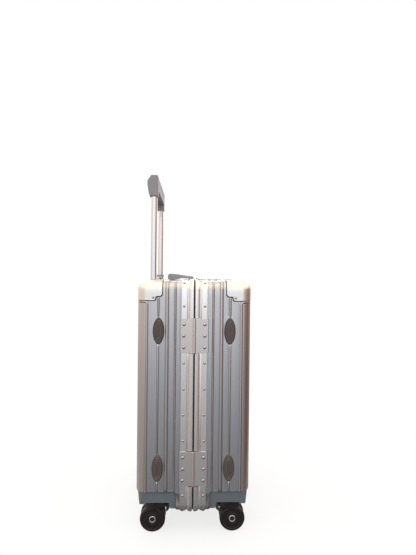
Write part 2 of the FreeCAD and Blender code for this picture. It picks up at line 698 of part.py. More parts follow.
grip_half = d.tube_x + 13.5
grip_outline = [(87, d.leg_end), (87, d.grip_top - 2), (89, d.grip_top), (103, d.grip_top),
                (111.4, d.grip_top - 13), (111.4, d.grip_top - 21), (109, d.leg_end + 10), (106, d.leg_end)]
grip_bar = prism("grip_bar", "YZ", lambda s: polygon(s, grip_outline), across_x(-grip_half, grip_half))
grip_bar = soften(grip_bar, 1.6)
finger_gap = box("finger_gap", across_x(-d.tube_x + 13.5, d.tube_x - 13.5), (80, 120),
                 (d.leg_end - 5, d.bar_under))
button_well = tube_bar("button_well", 0, 31, 10, (d.grip_top - 6.5, d.grip_top + 5), 4)
leg_bores = []
for side, middle in sides.items():
    leg_bores.append(tube_bar(f"leg_bore_{side}", middle, 19.2, 13.7, (d.leg_end - 5, 785), 5))
    leg_bores.append(tube_bar(f"leg_mouth_{side}", middle, 23, 15.5, (d.leg_end - 5, d.leg_end + 5), 5))
trolley["trolley_grip"] = cut("trolley_grip", grip_bar, finger_gap, button_well, *leg_bores)
trolley["trolley_button"] = tube_bar("trolley_button", 0, 30, 9, (d.grip_top - 3.4, d.grip_top + 1.1), 3.6)


# ---- carry handles -----------------------------------------------------------------------------
# A bail that folds flat on the back half, turning in two mounts beside the parting line. Drawn in
# its own frame, with Z = 0 on the sheet, then set on the top and on the latch side.

def carry_handle(name, at, turn=None):
    reach = d.handle_half
    bail_outline = [(11, 3.6), (11, 10), (30, 12.6), (46, 15.4), (60, 16), (64.5, 12.5), (64.5, 1.7),
                    (44, 1.7), (34, 5.4), (15.6, 5.4)]
    bar = prism(name + "_bar", "YZ", lambda s: polygon(s, bail_outline), (-reach, reach))
    inner = reach - d.arm_width
    window = box(name + "_window", (-inner, inner), (0, 45), (-5, 30))
    barrels, trunnions, mounts = [], [], []
    cheek = 3.7
    for i, sign in enumerate((-1, 1)):
        start = inner if sign > 0 else -reach
        barrels.append(rod(f"{name}_barrel{i}", (start, d.pivot_y, d.pivot_out), "x", d.arm_width, 3.8))
        trunnions.append(rod(f"{name}_trunnion{i}", (start - cheek, d.pivot_y, d.pivot_out), "x",
                             d.arm_width + 2 * cheek, 1.5))
        low, high = start - cheek - 0.4, start + d.arm_width + cheek + 0.4
        outline = [(1.9, 0.1), (1.9, 6.5), (4.8, 10), (12, 10), (15.3, 6.5), (15.3, 0.1)]
        block = prism(f"{name}_mount{i}_block", "YZ", lambda s: polygon(s, outline), (low, high))
        slot = box(f"{name}_mount{i}_slot", (start - 0.4, start + d.arm_width + 0.4), (-5, 20), (2, 20))
        bore = rod(f"{name}_mount{i}_bore", (low - 5, d.pivot_y, d.pivot_out), "x", d.arm_width + 30, 1.55)
        mounts.append(cut(f"{name}_mount{i}", block, slot, bore))
    bail = fuse(name, cut(name + "_bail", bar, window), *barrels, *trunnions)
    pair = group(name + "_mounts", *mounts)
    return place(bail, at, turn), place(pair, at, turn)


top_handle, top_mounts = carry_handle("top_handle", (d.row_shift, 0, d.case_top))
side_handle, side_mounts = carry_handle("side_handle", (d.row_shift + half_width, 0, case_middle),
                                        Rotation(Vector(0, 1, 0), 90))


# ---- latches -----------------------------------------------------------------------------------
# Over each hinge's level on the latch side: a base with two lugs, a flat hasp that turns in them and
# lies over the catch on the front half.

hasp_pivot = (31, 8)


def latch(where, level):
    face = half_width + d.strip_height
    base_plate = box(f"latch_plate_{where}", across_x(face, half_width + 5.2), (15.8, 34),
                     (level - 22, level + 22))
    lugs = [box(f"latch_lug_{where}{i}", across_x(face, half_width + 10.4), (28, 34), (low, low + 4.8))
            for i, low in enumerate((level - 22, level + 17.2))]
    pin_at = (d.row_shift + half_width + hasp_pivot[1], hasp_pivot[0])
    lug_bore = rod(f"latch_lug_bore_{where}", (*pin_at, level - 30), "z", 60, 1.3)
    base = cut(f"latch_base_{where}", fuse(f"latch_base_solid_{where}", base_plate, *lugs), lug_bore)
    plate = prism(f"hasp_plate_{where}", "YZ",
                  lambda s: rounded_rectangle(s, (-27, 30.5), (level - 16.5, level + 16.5), 4),
                  across_x(half_width + 6.6, half_width + 9))
    hasp = fuse(f"{where}_latch_hasp", plate,
                rod(f"hasp_barrel_{where}", (*pin_at, level - 16.5), "z", 33, 2.4),
                rod(f"hasp_pin_{where}", (*pin_at, level - 21.5), "z", 43, 1.25))
    catch = prism(f"latch_catch_{where}", "YZ",
                  lambda s: rounded_rectangle(s, (-28, -15.8), (level - 13, level + 13), 2),
                  across_x(face, half_width + 6.2))
    return base, hasp, catch


latches = {where: latch(where, level)
           for where, level in {"upper": d.hinge_high, "lower": d.hinge_low}.items()}


# ---- small top pieces --------------------------------------------------------------------------
# A blank plate on the front half's top, and a rubber pad that runs down the front frame's bead.

plate_blank = prism("name_plate", "XY", lambda s: rounded_rectangle(s, across_x(-30, 30), (-57, -33), 4),
                    (d.case_top + 1.4, d.case_top + 4.6))
name_plate = soften(plate_blank, 0.8)
pad_outline = [(-2.2, 4.1), (-2.2, 6.2), (-16.5, 2.6), (-16.5, 1.9), (-10.2, 1.9)]
frame_pad = prism("frame_pad", "YZ", lambda s: polygon(s, [(y, d.case_top + out) for y, out in pad_outline]),
                  across_x(-165, -151))


# ---- inside ------------------------------------------------------------------------------------
# Fabric trays; the back one is shallower and covers the trolley tubes.

def clear_corners(name, tray):
    """The tray with its two lower corners cut away round the caster housings."""
    room_y = d.housing_y - 3
    spans = (across_x(-half_width, -d.housing_x + 3), across_x(d.housing_x - 3, half_width))
    room_z = (d.case_floor, d.housing_top + 3)
    return cut(name, tray, *[box(f"{name}_corner{i}", span, (room_y, half_depth), room_z)
                             for i, span in enumerate(spans)])


lining_mouth, back_tray_depth, tray_round = d.strip_outer + 1, 82, 14


def tray_block(name, inset, y):
    """The back tray's outline, drawn in by inset, over a span of Y."""
    edge = d.lining_gap + inset
    return prism(name, "XZ",
                 lambda s: rounded_rectangle(s, across_x(-half_width + edge, half_width - edge),
                                             (d.case_floor + edge, d.case_top - edge), tray_round - inset), y)


back_tray = cut("back_tray",
                tray_block("back_tray_outside", 0, (lining_mouth, back_tray_depth)),
                tray_block("back_tray_hollow", d.lining_skin,
                           (lining_mouth - 5, back_tray_depth - d.lining_skin)))
lining_back = clear_corners("lining_back", back_tray)
deep_wall = cut("deep_wall", case_block("deep_outside", -d.lining_gap),
                case_block("deep_hollow", -d.lining_gap - d.lining_skin))
deep_tray = common("deep_tray", deep_wall, box("deep_room", wide_x, (lining_mouth, half_depth), tall_z))
lining_front = mirror("lining_front", clear_corners("lining_deep", deep_tray), "y")

strap_y = (78.8, 80.6)
straps = fuse("packing_straps",
              box("strap_left", across_x(-82, -58), strap_y, (100, 500)),
              box("strap_right", across_x(58, 82), strap_y, (100, 500)),
              box("strap_cross", across_x(-82, 82), strap_y, (288, 312)),
              box("strap_buckle", across_x(-22, 22), (75, 80.6), (283, 317)))


# ---- nodes -------------------------------------------------------------------------------------

nodes = {
    "back_shell": back_shell, "front_shell": front_shell, "back_frame": back_frame,
    "front_frame": front_frame, "frame_seal": frame_seal, **caps, **housings, **casters, **trolley,
    "swivel_pins_back": swivel_pins_back, "swivel_pins_front": swivel_pins_front,
    "rivets_back": rivets_back, "rivets_front": rivets_front,
    "hinge_leaves_back": group("hinge_leaves_back", *leaves_back),
    "hinge_leaves_front": group("hinge_leaves_front", *leaves_front),
    "hinge_pins": group("hinge_pins", *pins),
    "side_feet_back": side_feet_back, "side_feet_front": side_feet_front,
    "top_handle": top_handle, "top_handle_mounts": top_mounts,
    "side_handle": side_handle, "side_handle_mounts": side_mounts,
    "latch_bases": group("latch_bases", *[latches[w][0] for w in latches]),
    "upper_latch_hasp": latches["upper"][1], "lower_latch_hasp": latches["lower"][1],
    "latch_catches": group("latch_catches", *[latches[w][2] for w in latches]),
    "name_plate": name_plate, "frame_pad": frame_pad,
    "lining_back": lining_back, "lining_front": lining_front, "packing_straps": straps,
}

for label, obj in nodes.items():
    obj.Label = label
doc.recompute()

broken = [obj.Name for obj in doc.Objects if {"Invalid", "Error"} & set(obj.State)]
for label, obj in nodes.items():
    if obj.Shape.isNull() or not obj.Shape.isValid() or not obj.Shape.Solids:
        broken.append(label)
if broken:
    raise RuntimeError("not built: " + ", ".join(broken))

os.makedirs("parts", exist_ok=True)
for label, obj in nodes.items():
    obj.Shape.exportStep(f"parts/{label}.step")
    room = obj.Shape.BoundBox
    print(f"{label:28s} solids {len(obj.Shape.Solids):3d}  x {room.XMin:8.2f} {room.XMax:8.2f}"
          f"  y {room.YMin:8.2f} {room.YMax:8.2f}  z {room.ZMin:8.2f} {room.ZMax:8.2f}")
print(len(nodes), "nodes")
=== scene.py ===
import math

import bmesh
import bpy
from mathutils import Matrix, Vector


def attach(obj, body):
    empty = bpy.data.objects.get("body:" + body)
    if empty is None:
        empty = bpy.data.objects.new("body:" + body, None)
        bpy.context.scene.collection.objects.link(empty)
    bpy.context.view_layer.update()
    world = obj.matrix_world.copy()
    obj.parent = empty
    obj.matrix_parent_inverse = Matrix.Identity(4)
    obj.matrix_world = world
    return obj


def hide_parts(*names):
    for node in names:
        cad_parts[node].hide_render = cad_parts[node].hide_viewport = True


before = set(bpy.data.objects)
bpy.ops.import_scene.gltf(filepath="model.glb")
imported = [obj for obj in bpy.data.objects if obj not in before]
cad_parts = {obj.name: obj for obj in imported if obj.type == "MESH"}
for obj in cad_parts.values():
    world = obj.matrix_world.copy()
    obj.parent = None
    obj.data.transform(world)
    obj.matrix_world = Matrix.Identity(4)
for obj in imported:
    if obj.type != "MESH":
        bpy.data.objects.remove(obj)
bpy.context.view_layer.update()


# ---- Case halves -------------------------------------------------------------------------------
# Two drawn shells of 1.6 mm aluminium sheet, satin anodised. Rolled beads stiffen them: three along
# each narrow side, uprights on the big faces, and one that frames each upright corner column.

MM = 0.001
CASE_LOW, CASE_HIGH = 51 * MM, 553 * MM
CASE_CENTRE = Vector((-3.75, 0, 302)) * MM
CASE_HALF = Vector((185, 122, 251)) * MM
EDGE_ROUND = 19 * MM
CORNERS = {"back_hinge": (-1, 1), "back_latch": (1, 1), "front_hinge": (-1, -1), "front_latch": (1, -1)}


class Wire:
    """One value in a finish; arithmetic on it adds the Math nodes that do it."""

    def __init__(self, finish, socket):
        self.finish = finish
        self.socket = socket

    def combine(self, operation, first, second):
        return self.finish.node("ShaderNodeMath", {"operation": operation}, {0: first, 1: second})

    def __add__(self, other):
        return self.combine("ADD", self, other)

    __radd__ = __add__

    def __sub__(self, other):
        return self.combine("SUBTRACT", self, other)

    def __rsub__(self, other):
        return self.combine("SUBTRACT", other, self)

    def __mul__(self, other):
        return self.combine("MULTIPLY", self, other)

    __rmul__ = __mul__

    def __pow__(self, other):
        return self.combine("POWER", self, other)


class Finish:
    """The nodes of a material, or of the world, laid out on one set of coordinates."""

    def __init__(self, owner, shader="Principled BSDF", coordinates="Object", **constants):
        owner.use_nodes = True
        self.owner = owner
        self.tree = owner.node_tree
        self.shader = self.tree.nodes[shader]
        for socket, value in constants.items():
            self.shader.inputs[socket.replace("_", " ")].default_value = value
        self.place = self.node("ShaderNodeTexCoord", out=coordinates)

    def node(self, kind, settings=None, inputs=None, out=0):
        made = self.tree.nodes.new(kind)
        for name, value in (settings or {}).items():
            setattr(made, name, value)
        for name, value in (inputs or {}).items():
            if isinstance(value, Wire):
                self.tree.links.new(value.socket, made.inputs[name])
            else:
                made.inputs[name].default_value = value
        return Wire(self, made.outputs[out])

    def noise(self, scale, detail=3.0, stretch=(1, 1, 1), turn=(0, 0, 0)):
        where = self.node("ShaderNodeMapping", {"vector_type": "TEXTURE"},
                          {"Vector": self.place, "Rotation": turn, "Scale": [1 / s for s in stretch]})
        return self.node("ShaderNodeTexNoise", None, {"Vector": where, "Scale": scale, "Detail": detail})

    def spread(self, value, low, high):
        """value, from low to high, drawn out to 0 to 1."""
        return self.node("ShaderNodeMapRange", {"interpolation_type": "SMOOTHSTEP"},
                         {"Value": value, "From Min": low, "From Max": high})

    def blend(self, factor, first, second):
        return self.node("ShaderNodeMix", {"data_type": "RGBA"},
                         {"Factor": factor, 6: first, 7: second}, out=2)

    def feed(self, **sockets):
        for socket, wire in sockets.items():
            self.tree.links.new(wire.socket, self.shader.inputs[socket.replace("_", " ")])

    def raise_by(self, height, depth):
        self.feed(Normal=self.node("ShaderNodeBump", None, {"Height": height, "Distance": depth}))


def rgb(red, green, blue):
    return (red, green, blue, 1.0)


def anodised(name, dark, light, roughness, grain=(900, 900, 12), depth=0.00002, drift=1.0,
             with_bead_shade=False):
    """Satin metal: drawn grain, clouding from handling, hairline scratches, and, where asked, painted shade
    along the feet of beads.
    """
    finish = Finish(bpy.data.materials.new(name), Metallic=1.0)
    drawn = finish.noise(1.0, 4.0, grain)
    cloud = finish.noise(7.0, 5.0)
    hairs = finish.spread(finish.noise(1.0, 2.0, (60, 60, 900), (0.5, 0.35, 0.0)), 0.68, 0.72)
    colour = finish.blend(drawn * 0.55 + cloud * 0.45, dark, light)
    if with_bead_shade:
        # Darkens the colour by a per-vertex attribute: painted shade in the valleys beside the beads.
        bead_shade = finish.node("ShaderNodeAttribute", {"attribute_name": "bead_foot_shade"}, out=2)
        colour = finish.blend(bead_shade * 0.75, colour, rgb(0.13, 0.11, 0.10))
    finish.feed(Base_Color=colour,
                Roughness=(drawn * 0.16 + cloud * 0.14 + hairs * 0.05 - 0.15) * drift + roughness)
    finish.raise_by(drawn + hairs * 0.4, depth)
    return finish.owner


def rounded_block(grow, segments):
    """The case's outside, grown all round, as one closed block."""
    block = bmesh.new()
    size = 2 * (CASE_HALF + Vector((grow, grow, grow)))
    bmesh.ops.create_cube(block, size=1.0,
                          matrix=Matrix.Translation(CASE_CENTRE) @ Matrix.Diagonal((*size, 1.0)))
    bmesh.ops.bevel(block, geom=block.edges[:], offset=EDGE_ROUND + grow, affect="EDGES",
                    segments=segments, profile=0.5, material=-1)
    return block


def slice_at(piece, axis, place, keep=0):
    """Cuts across an axis; keep, -1 or 1, throws away the other side."""
    across = Vector([float(i == axis) for i in range(3)])
    geometry = [*piece.verts, *piece.edges, *piece.faces]
    bmesh.ops.bisect_plane(piece, geom=geometry, dist=1e-7, plane_co=across * place, plane_no=across,
                           clear_inner=keep > 0, clear_outer=keep < 0)


def drop_faces(piece, unwanted):
    """Takes out the faces whose middle, measured from the case's, is unwanted."""
    gone = [face for face in piece.faces if unwanted(face.calc_center_median() - CASE_CENTRE)]
    bmesh.ops.delete(piece, geom=gone, context="FACES")


def assemble(piece, name, material, slot, body, *nodes, sharp=35.0):
    """Makes a bmesh a piece of the case, riding on a body in place of the CAD nodes it stands for."""
    mesh = bpy.data.meshes.new(name)
    piece.to_mesh(mesh)
    piece.free()
    mesh.shade_smooth()
    mesh.set_sharp_from_angle(angle=math.radians(sharp))
    mesh.materials.append(material)
    made = bpy.data.objects.new(name, mesh)
    bpy.context.scene.collection.objects.link(made)
    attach(made, body)
    if nodes:
        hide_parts(*nodes)
    return made


def thicken(made, thickness, soft_edge=0.0):
    """Gives a sheet its thickness inwards, and breaks its edges."""
    wall = made.modifiers.new("wall", "SOLIDIFY")
    wall.thickness, wall.offset = thickness, -1.0
    if soft_edge:
        edge = made.modifiers.new("edge", "BEVEL")
        edge.width, edge.segments, edge.limit_method = soft_edge, 2, "ANGLE"
        edge.angle_limit = math.radians(50)


SHEET = 1.6 * MM
BEAD_HEIGHT = 1.4 * MM
SIDE_BEADS = [(78 * MM, 3.8 * MM), (59 * MM, 7 * MM), (41 * MM, 3.4 * MM)]
FACE_BEADS = [(24 * i * MM, 5 * MM) for i in range(-6, 7)]
COLUMN_BEAD, COLUMN_REACH, COLUMN_TOP, COLUMN_ROUND = 5.2 * MM, 0.75 * MM, 508 * MM, 6 * MM
BEAD_STEPS = (-1.5, -1.2, -0.95, -0.65, -0.35, 0, 0.35, 0.65, 0.95, 1.2, 1.5)
FOOT_LEVELS = (445 * MM, 149 * MM)

# Where beads fade in or out, in mm: from a foot's middle, then by level or by reach from the middle.
FOOT_FADE = (30, 31.3, 32.7, 34)
WELL_FADE = (97, 98.3, 99.7, 101)
FACE_FADES = ((104, 105.5, 107.5, 109), (499, 500.5, 502.5, 504))
CAP_FADE, CAP_REACH = (515, 516.3, 517.7, 519), (120, 133)
LAST_BEAD, WELL_REACH, FACE_REACH = 70 * MM, 110 * MM, 150 * MM
COLUMN_ZONE, COLUMN_END = 8 * MM, 520 * MM

# The opening over each wheel, as steps (x, y, level), and the holes for the trolley's tubes, in mm.
WELL_STEPS = ((110.2, 36.2, 90.7), (111.6, 37.6, 94.2), (115.3, 41.1, 95.6))
TUBE_X, TUBE_Y, HOLE_X, HOLE_Y, HOLE_FLOOR = 105, 96, 14, 11.2, 240
flat = CASE_HALF - Vector((EDGE_ROUND,) * 3)


def ridge(distance, width):
    """A rolled bead's section: a rounded crest with a slight valley along each side."""
    t = abs(distance) / (width / 2)
    if t < 1:
        return BEAD_HEIGHT * (0.5 + 0.5 * math.cos(math.pi * t ** 1.25))
    return -0.22 * BEAD_HEIGHT * math.sin(math.pi * (t - 1) / 0.5) if t < 1.5 else 0.0


def bead_foot_shade(distance, width):
    """How deep in the painted shade line along a bead's foot a point is, from 0 to 1."""
    return math.exp(-((abs(distance) / (width / 2) - 0.95) / 0.28) ** 2)


def ramp(value, low, high):
    t = min(max((value - low) / (high - low), 0.0), 1.0)
    return t * t * (3 - 2 * t)


def fade(value, steps):
    return ramp(value, steps[0] * MM, steps[-1] * MM)


def bead_rise(at, outward):
    """How far the sheet stands out, and how much painted shade it takes beside its beads, at a point given
    from the case's middle.
    """
    x, y, level = abs(at.x), abs(at.y), at.z + CASE_CENTRE.z
    rise = painted_shade = 0.0
    if y < flat.y:
        clear = 1.0
        if at.x < 0:
            clear = min(fade(abs(level - foot), FOOT_FADE) for foot in FOOT_LEVELS)
        for centre, width in SIDE_BEADS:
            share = ridge(y - centre, width)
            if centre > LAST_BEAD:
                share *= clear * (1 - fade(level, CAP_FADE) * fade(x, CAP_REACH))
            if x > WELL_REACH:
                share *= fade(level, WELL_FADE)
            rise += share
            shown = clear if centre > LAST_BEAD else 1.0
            painted_shade = max(painted_shade, shown * bead_foot_shade(y - centre, width))
    if y > flat.y and x < FACE_REACH and abs(outward.y) > 0.9:
        ends = fade(level, FACE_FADES[0]) * (1 - fade(level, FACE_FADES[1]))
        rise += ends * max((ridge(at.x - centre, width) for centre, width in FACE_BEADS), key=abs)
        painted_shade = max(painted_shade, ends * max(bead_foot_shade(at.x - centre, width) for centre, width in FACE_BEADS))
    if x > flat.x - COLUMN_ZONE and y > flat.y - COLUMN_ZONE and level < COLUMN_END:
        bend = math.atan2(abs(outward.y), abs(outward.x)) - math.pi / 4
        around = abs(EDGE_ROUND * bend) + max(flat.y - y, 0) + max(flat.x - x, 0)
        edge = COLUMN_REACH + EDGE_ROUND * math.pi / 4 - COLUMN_ROUND
        over = Vector((around - edge, level - (COLUMN_TOP - COLUMN_ROUND)))
        outside = Vector((max(over.x, 0), max(over.y, 0))).length
        bead = outside + min(max(over.x, over.y), 0) - COLUMN_ROUND
        rise += ridge(bead, COLUMN_BEAD)
        painted_shade = max(painted_shade, 0.7 * bead_foot_shade(bead, COLUMN_BEAD))
    return rise, painted_shade


shell = rounded_block(0.0, 10)
slice_at(shell, 1, 16 * MM, keep=1)
cuts = {0: [], 1: [], 2: []}
for centre, width in SIDE_BEADS:
    cuts[1] += [centre + step * width / 2 for step in BEAD_STEPS]
for centre, width in FACE_BEADS:
    cuts[0] += [centre + step * width / 2 for step in BEAD_STEPS]
for step in BEAD_STEPS:
    cuts[0] += [sign * (flat.x - COLUMN_REACH + step * COLUMN_BEAD / 2) for sign in (-1, 1)]
    cuts[1] += [flat.y - COLUMN_REACH + step * COLUMN_BEAD / 2]
    cuts[2] += [COLUMN_TOP + step * COLUMN_BEAD / 2]
for foot in FOOT_LEVELS:
    cuts[2] += [foot + sign * reach * MM for sign in (-1, 1) for reach in FOOT_FADE]
well_x, well_y, well_levels = zip(*WELL_STEPS)
cuts[2] += [z * MM for z in (*WELL_FADE, *FACE_FADES[0], *FACE_FADES[1], *CAP_FADE, *well_levels)]
cuts[0] += [sign * x * MM for sign in (-1, 1) for x in (TUBE_X - HOLE_X, *well_x, TUBE_X + HOLE_X)]
cuts[1] += [y * MM for y in (*well_y, TUBE_Y - HOLE_Y, TUBE_Y + HOLE_Y)]
middles = (CASE_CENTRE.x, 0.0, 0.0)
for axis, places in cuts.items():
    for place in places:
        slice_at(shell, axis, place + middles[axis])
shell.normal_update()
# Each vertex keeps how much painted shade it takes beside the beads, for the sheet's material to read.
shade_layer = shell.verts.layers.float.new("bead_foot_shade")
moves = []
for vert in shell.verts:
    at = vert.co - CASE_CENTRE
    inner = Vector([min(max(at[i], -flat[i]), flat[i]) for i in range(3)])
    outward = (at - inner).normalized()
    moves.append((vert, outward, *bead_rise(at, outward)))
for vert, outward, rise, painted_shade in moves:
    vert.co += outward * rise
    vert[shade_layer] = painted_shade
for low_x, low_y, high in WELL_STEPS:
    drop_faces(shell, lambda at: abs(at.x) > low_x * MM and at.y > low_y * MM
               and at.z < high * MM - CASE_CENTRE.z)

# The sheet metal carries painted shade along the feet of its beads.
sheet_metal = anodised("sheet_metal", rgb(0.50, 0.507, 0.53), rgb(0.59, 0.597, 0.62), 0.24,
                       drift=0.6, with_bead_shade=True)
front = shell.copy()
bmesh.ops.scale(front, vec=(1, -1, 1), verts=front.verts)
bmesh.ops.reverse_faces(front, faces=front.faces)
drop_faces(shell, lambda at: abs(abs(at.x) - TUBE_X * MM) < HOLE_X * MM
           and abs(at.y - TUBE_Y * MM) < HOLE_Y * MM and at.z > HOLE_FLOOR * MM)
back_sheet = assemble(shell, "back_sheet", sheet_metal, "shell", "case", "back_shell", sharp=60)
front_sheet = assemble(front, "front_sheet", sheet_metal, "shell", "lid", "front_shell", sharp=60)
thicken(back_sheet, SHEET)
thicken(front_sheet, SHEET)


# ---- Frames ------------------------------------------------------------------------------------
# One aluminium extrusion rolled round each half: a bead at the parting line, a groove, and a strip
# that laps the sheet and is riveted to it. The bead is milled flat under the hinges and handles.

FRAME_SECTION = [
    (1.6, 2.4), (1.8, 3.2), (2.4, 3.8), (3.6, 4.1), (5.3, 3.95), (7, 3.65), (8.8, 3.2), (10.3, 2.7),
    (11.3, 2), (11.9, 1), (12.6, 0), (14.7, 0), (15.3, 0.3), (15.5, 1.2), (15.9, 1.8), (16.6, 2),
    (27.2, 2), (28, 1.8), (28.4, 1.2), (28.5, 0.1), (15.9, 0.1), (15.9, -1.7), (28.5, -1.7),
    (28.5, -3.7), (1.6, -3.7),
]
HINGE_LEVELS = (435 * MM, 148 * MM)
BEND_STEPS = 10
HINGE_FLAT = 38 * MM
MOUNT_FLATS = ((-79.1 * MM, -52.9 * MM), (52.9 * MM, 79.1 * MM))
BEAD_EDGE, MILL_EDGE = 15.45 * MM, 0.3 * MM


def roll_round(section, side):
    """Carries a section, as (depth, how far out of the sheet) in mm, once round the case."""
    ring = bmesh.new()
    verts = [ring.verts.new((CASE_CENTRE.x, side * depth * MM, CASE_LOW - out * MM))
             for depth, out in section]
    geometry = [ring.edges.new((verts[i - 1], verts[i])) for i in range(len(verts))]
    long_run, tall_run = 2 * flat.x, 2 * flat.z
    runs = [(1, 0, flat.x), (0, 1, tall_run), (-1, 0, long_run), (0, -1, tall_run), (1, 0, flat.x)]
    corners = [(1, -1), (1, 1), (-1, 1), (-1, -1)]
    for turn, (dx, dz, length) in enumerate(runs):
        edges = [g for g in geometry if isinstance(g, bmesh.types.BMEdge)]
        grown = bmesh.ops.extrude_edge_only(ring, edges=edges)["geom"]
        moved = [g for g in grown if isinstance(g, bmesh.types.BMVert)]
        bmesh.ops.translate(ring, verts=moved, vec=Vector((dx, 0, dz)) * length)
        geometry = [g for g in grown if not isinstance(g, bmesh.types.BMFace)]
        if turn < 4:
            sx, sz = corners[turn]
            pivot = CASE_CENTRE + Vector((sx * flat.x, 0, sz * flat.z))
            spun = bmesh.ops.spin(ring, geom=geometry, cent=pivot, axis=(0, 1, 0), dvec=(0, 0, 0),
                                  angle=-math.pi / 2, steps=BEND_STEPS, use_duplicate=False)
            geometry = spun["geom_last"]
    bmesh.ops.remove_doubles(ring, verts=ring.verts, dist=1e-6)
    bmesh.ops.recalc_face_normals(ring, faces=ring.faces)
    return ring


def mill(ring, axis, low, high, face_axis, face, sign):
    """Mills the frame down to a face between two places along an axis."""
    for place in (low - MILL_EDGE, low, high, high + MILL_EDGE):
        slice_at(ring, axis, place)
    for vert in ring.verts:
        milled = low - MILL_EDGE / 3 < vert.co[axis] < high + MILL_EDGE / 3
        if milled and abs(vert.co.y) < BEAD_EDGE:
            if sign * (vert.co[face_axis] - face) > 0:
                vert.co[face_axis] = face


frame_metal = anodised("frame_metal", rgb(0.80, 0.785, 0.775), rgb(0.87, 0.855, 0.845), 0.25,
                       (700, 700, 8), 0.000004, 0.4)
for half, side, body in (("back", 1, "case"), ("front", -1, "lid")):
    extrusion = roll_round(FRAME_SECTION, side)
    for level in HINGE_LEVELS:
        mill(extrusion, 2, level - HINGE_FLAT, level + HINGE_FLAT, 0, CASE_CENTRE.x - CASE_HALF.x, -1)
    if half == "back":
        for low, high in MOUNT_FLATS:
            mill(extrusion, 0, CASE_CENTRE.x + low, CASE_CENTRE.x + high, 2, CASE_HIGH, 1)
            mill(extrusion, 2, CASE_CENTRE.z + low, CASE_CENTRE.z + high, 0,
                 CASE_CENTRE.x + CASE_HALF.x, 1)
    assemble(extrusion, f"{half}_extrusion", frame_metal, "frame", body, f"{half}_frame", sharp=30)


# ---- Seal --------------------------------------------------------------------------------------
# Soft black rubber set in the back frame, proud enough to close the gap between the halves, and a
# short rubber pad stuck down the front frame's bead at the top.

def dress(material, *nodes):
    for name in nodes:
        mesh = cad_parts[name].data
        mesh.materials.clear()
        mesh.materials.append(material)


def moulded(name, dark, light, roughness, grain=900.0, depth=0.00004, gloss=0.5):
    """Moulded plastic or rubber: fine spark grain, slight mottle, and rubbed patches."""
    finish = Finish(bpy.data.materials.new(name), Specular_IOR_Level=gloss)
    spark = finish.noise(grain, 2.0)
    mottle = finish.noise(14.0, 4.0)
    rubbed = finish.spread(finish.noise(30.0, 3.0), 0.56, 0.75)
    finish.feed(Base_Color=finish.blend(mottle * 0.7 + spark * 0.3, dark, light),
                Roughness=spark * 0.12 + mottle * 0.12 - rubbed * 0.08 + (roughness - 0.1))
    finish.raise_by(spark + mottle * 0.5, depth)
    return finish.owner


seal_rubber = moulded("seal_rubber", rgb(0.008, 0.008, 0.008), rgb(0.02, 0.02, 0.02), 0.6)
dress(seal_rubber, "frame_seal", "frame_pad")


# ---- Corner caps -------------------------------------------------------------------------------
# Pressed aluminium caps over the four top corners, brighter than the sheet. Each has a lobe on the
# side, one on the face and one on top, and sits on a thin black sheet that shows round its edge as a painted
# shadow line.

def round_off(piece, on_face, axes, corner, towards, radius):
    """Rounds one corner in the outline of a sheet: what lies past the arc is drawn in onto it."""
    centre = [corner[i] + towards[i] * radius for i in (0, 1)]
    for vert in piece.verts:
        at = vert.co - CASE_CENTRE
        if not on_face(at):
            continue
        signs = [math.copysign(1, at[axis]) if axis < 2 else 1 for axis in axes]
        place = [signs[i] * at[axes[i]] for i in (0, 1)]
        away = [place[i] - centre[i] for i in (0, 1)]
        if all(-radius - 1e-6 <= away[i] * towards[i] <= 1e-6 for i in (0, 1)):
            reach = math.hypot(*away)
            if reach > radius:
                for i in (0, 1):
                    drawn_in = (centre[i] + away[i] * radius / reach) * signs[i]
                    vert.co[axes[i]] = drawn_in + CASE_CENTRE[axes[i]]


LOBE_ARC, STEP_ARC = 7 * MM, 4.5 * MM
LOBE_Y, LOBE_X, LOBE_LEVEL = 70, 133, 511
STEP_Y, STEP_X, STEP_LEVEL = 84.5, 147.5, 520
CUT_SHARES = (0, 0.12, 0.3, 0.6, 1)
CAP_FACE, SHADOW_SHEET_FACE, SHADOW_SHEET_MARGIN = 1.9 * MM, 0.9 * MM, 1.9


def corner_lobe(grow, margin, sx, sy):
    """A piece of the case's skin over one top corner, stepped up where the column bead ends."""
    skin = rounded_block(grow, 12)
    along_y, along_x, low = [(edge - margin) * MM for edge in (LOBE_Y, LOBE_X, LOBE_LEVEL)]
    step_y, step_x, step = [(edge - margin) * MM for edge in (STEP_Y, STEP_X, STEP_LEVEL)]
    slice_at(skin, 1, sy * along_y, keep=sy)
    slice_at(skin, 0, CASE_CENTRE.x + sx * along_x, keep=sx)
    slice_at(skin, 2, low, keep=1)
    for share in CUT_SHARES:
        lobe, small = share * LOBE_ARC, share * STEP_ARC
        for level in {low + small, step - small, step + lobe}:
            slice_at(skin, 2, level)
        for depth in {along_y + lobe, step_y - small, step_y + small}:
            slice_at(skin, 1, sy * depth)
        for width in {along_x + lobe, step_x - small, step_x + small}:
            slice_at(skin, 0, CASE_CENTRE.x + sx * width)
    drop_faces(skin, lambda at: at.z + CASE_CENTRE.z < step and (
        abs(at.y) < step_y and abs(at.x) > 0.18 or abs(at.x) < step_x and abs(at.y) > 0.11))
    low_up, step_up = low - CASE_CENTRE.z, step - CASE_CENTRE.z
    for on_face, axis, along, stepped in ((lambda at: abs(at.x) > 0.183, 1, along_y, step_y),
                                          (lambda at: abs(at.y) > 0.12, 0, along_x, step_x)):
        round_off(skin, on_face, (axis, 2), (along, step_up), (1, 1), LOBE_ARC)
        round_off(skin, on_face, (axis, 2), (stepped, step_up), (-1, -1), STEP_ARC)
        round_off(skin, on_face, (axis, 2), (stepped, low_up), (1, 1), STEP_ARC)
    round_off(skin, lambda at: at.z > 0.249, (0, 1), (along_x, along_y), (1, 1), LOBE_ARC)
    bmesh.ops.dissolve_degenerate(skin, dist=0.05 * MM, edges=skin.edges)
    skin.normal_update()
    return skin


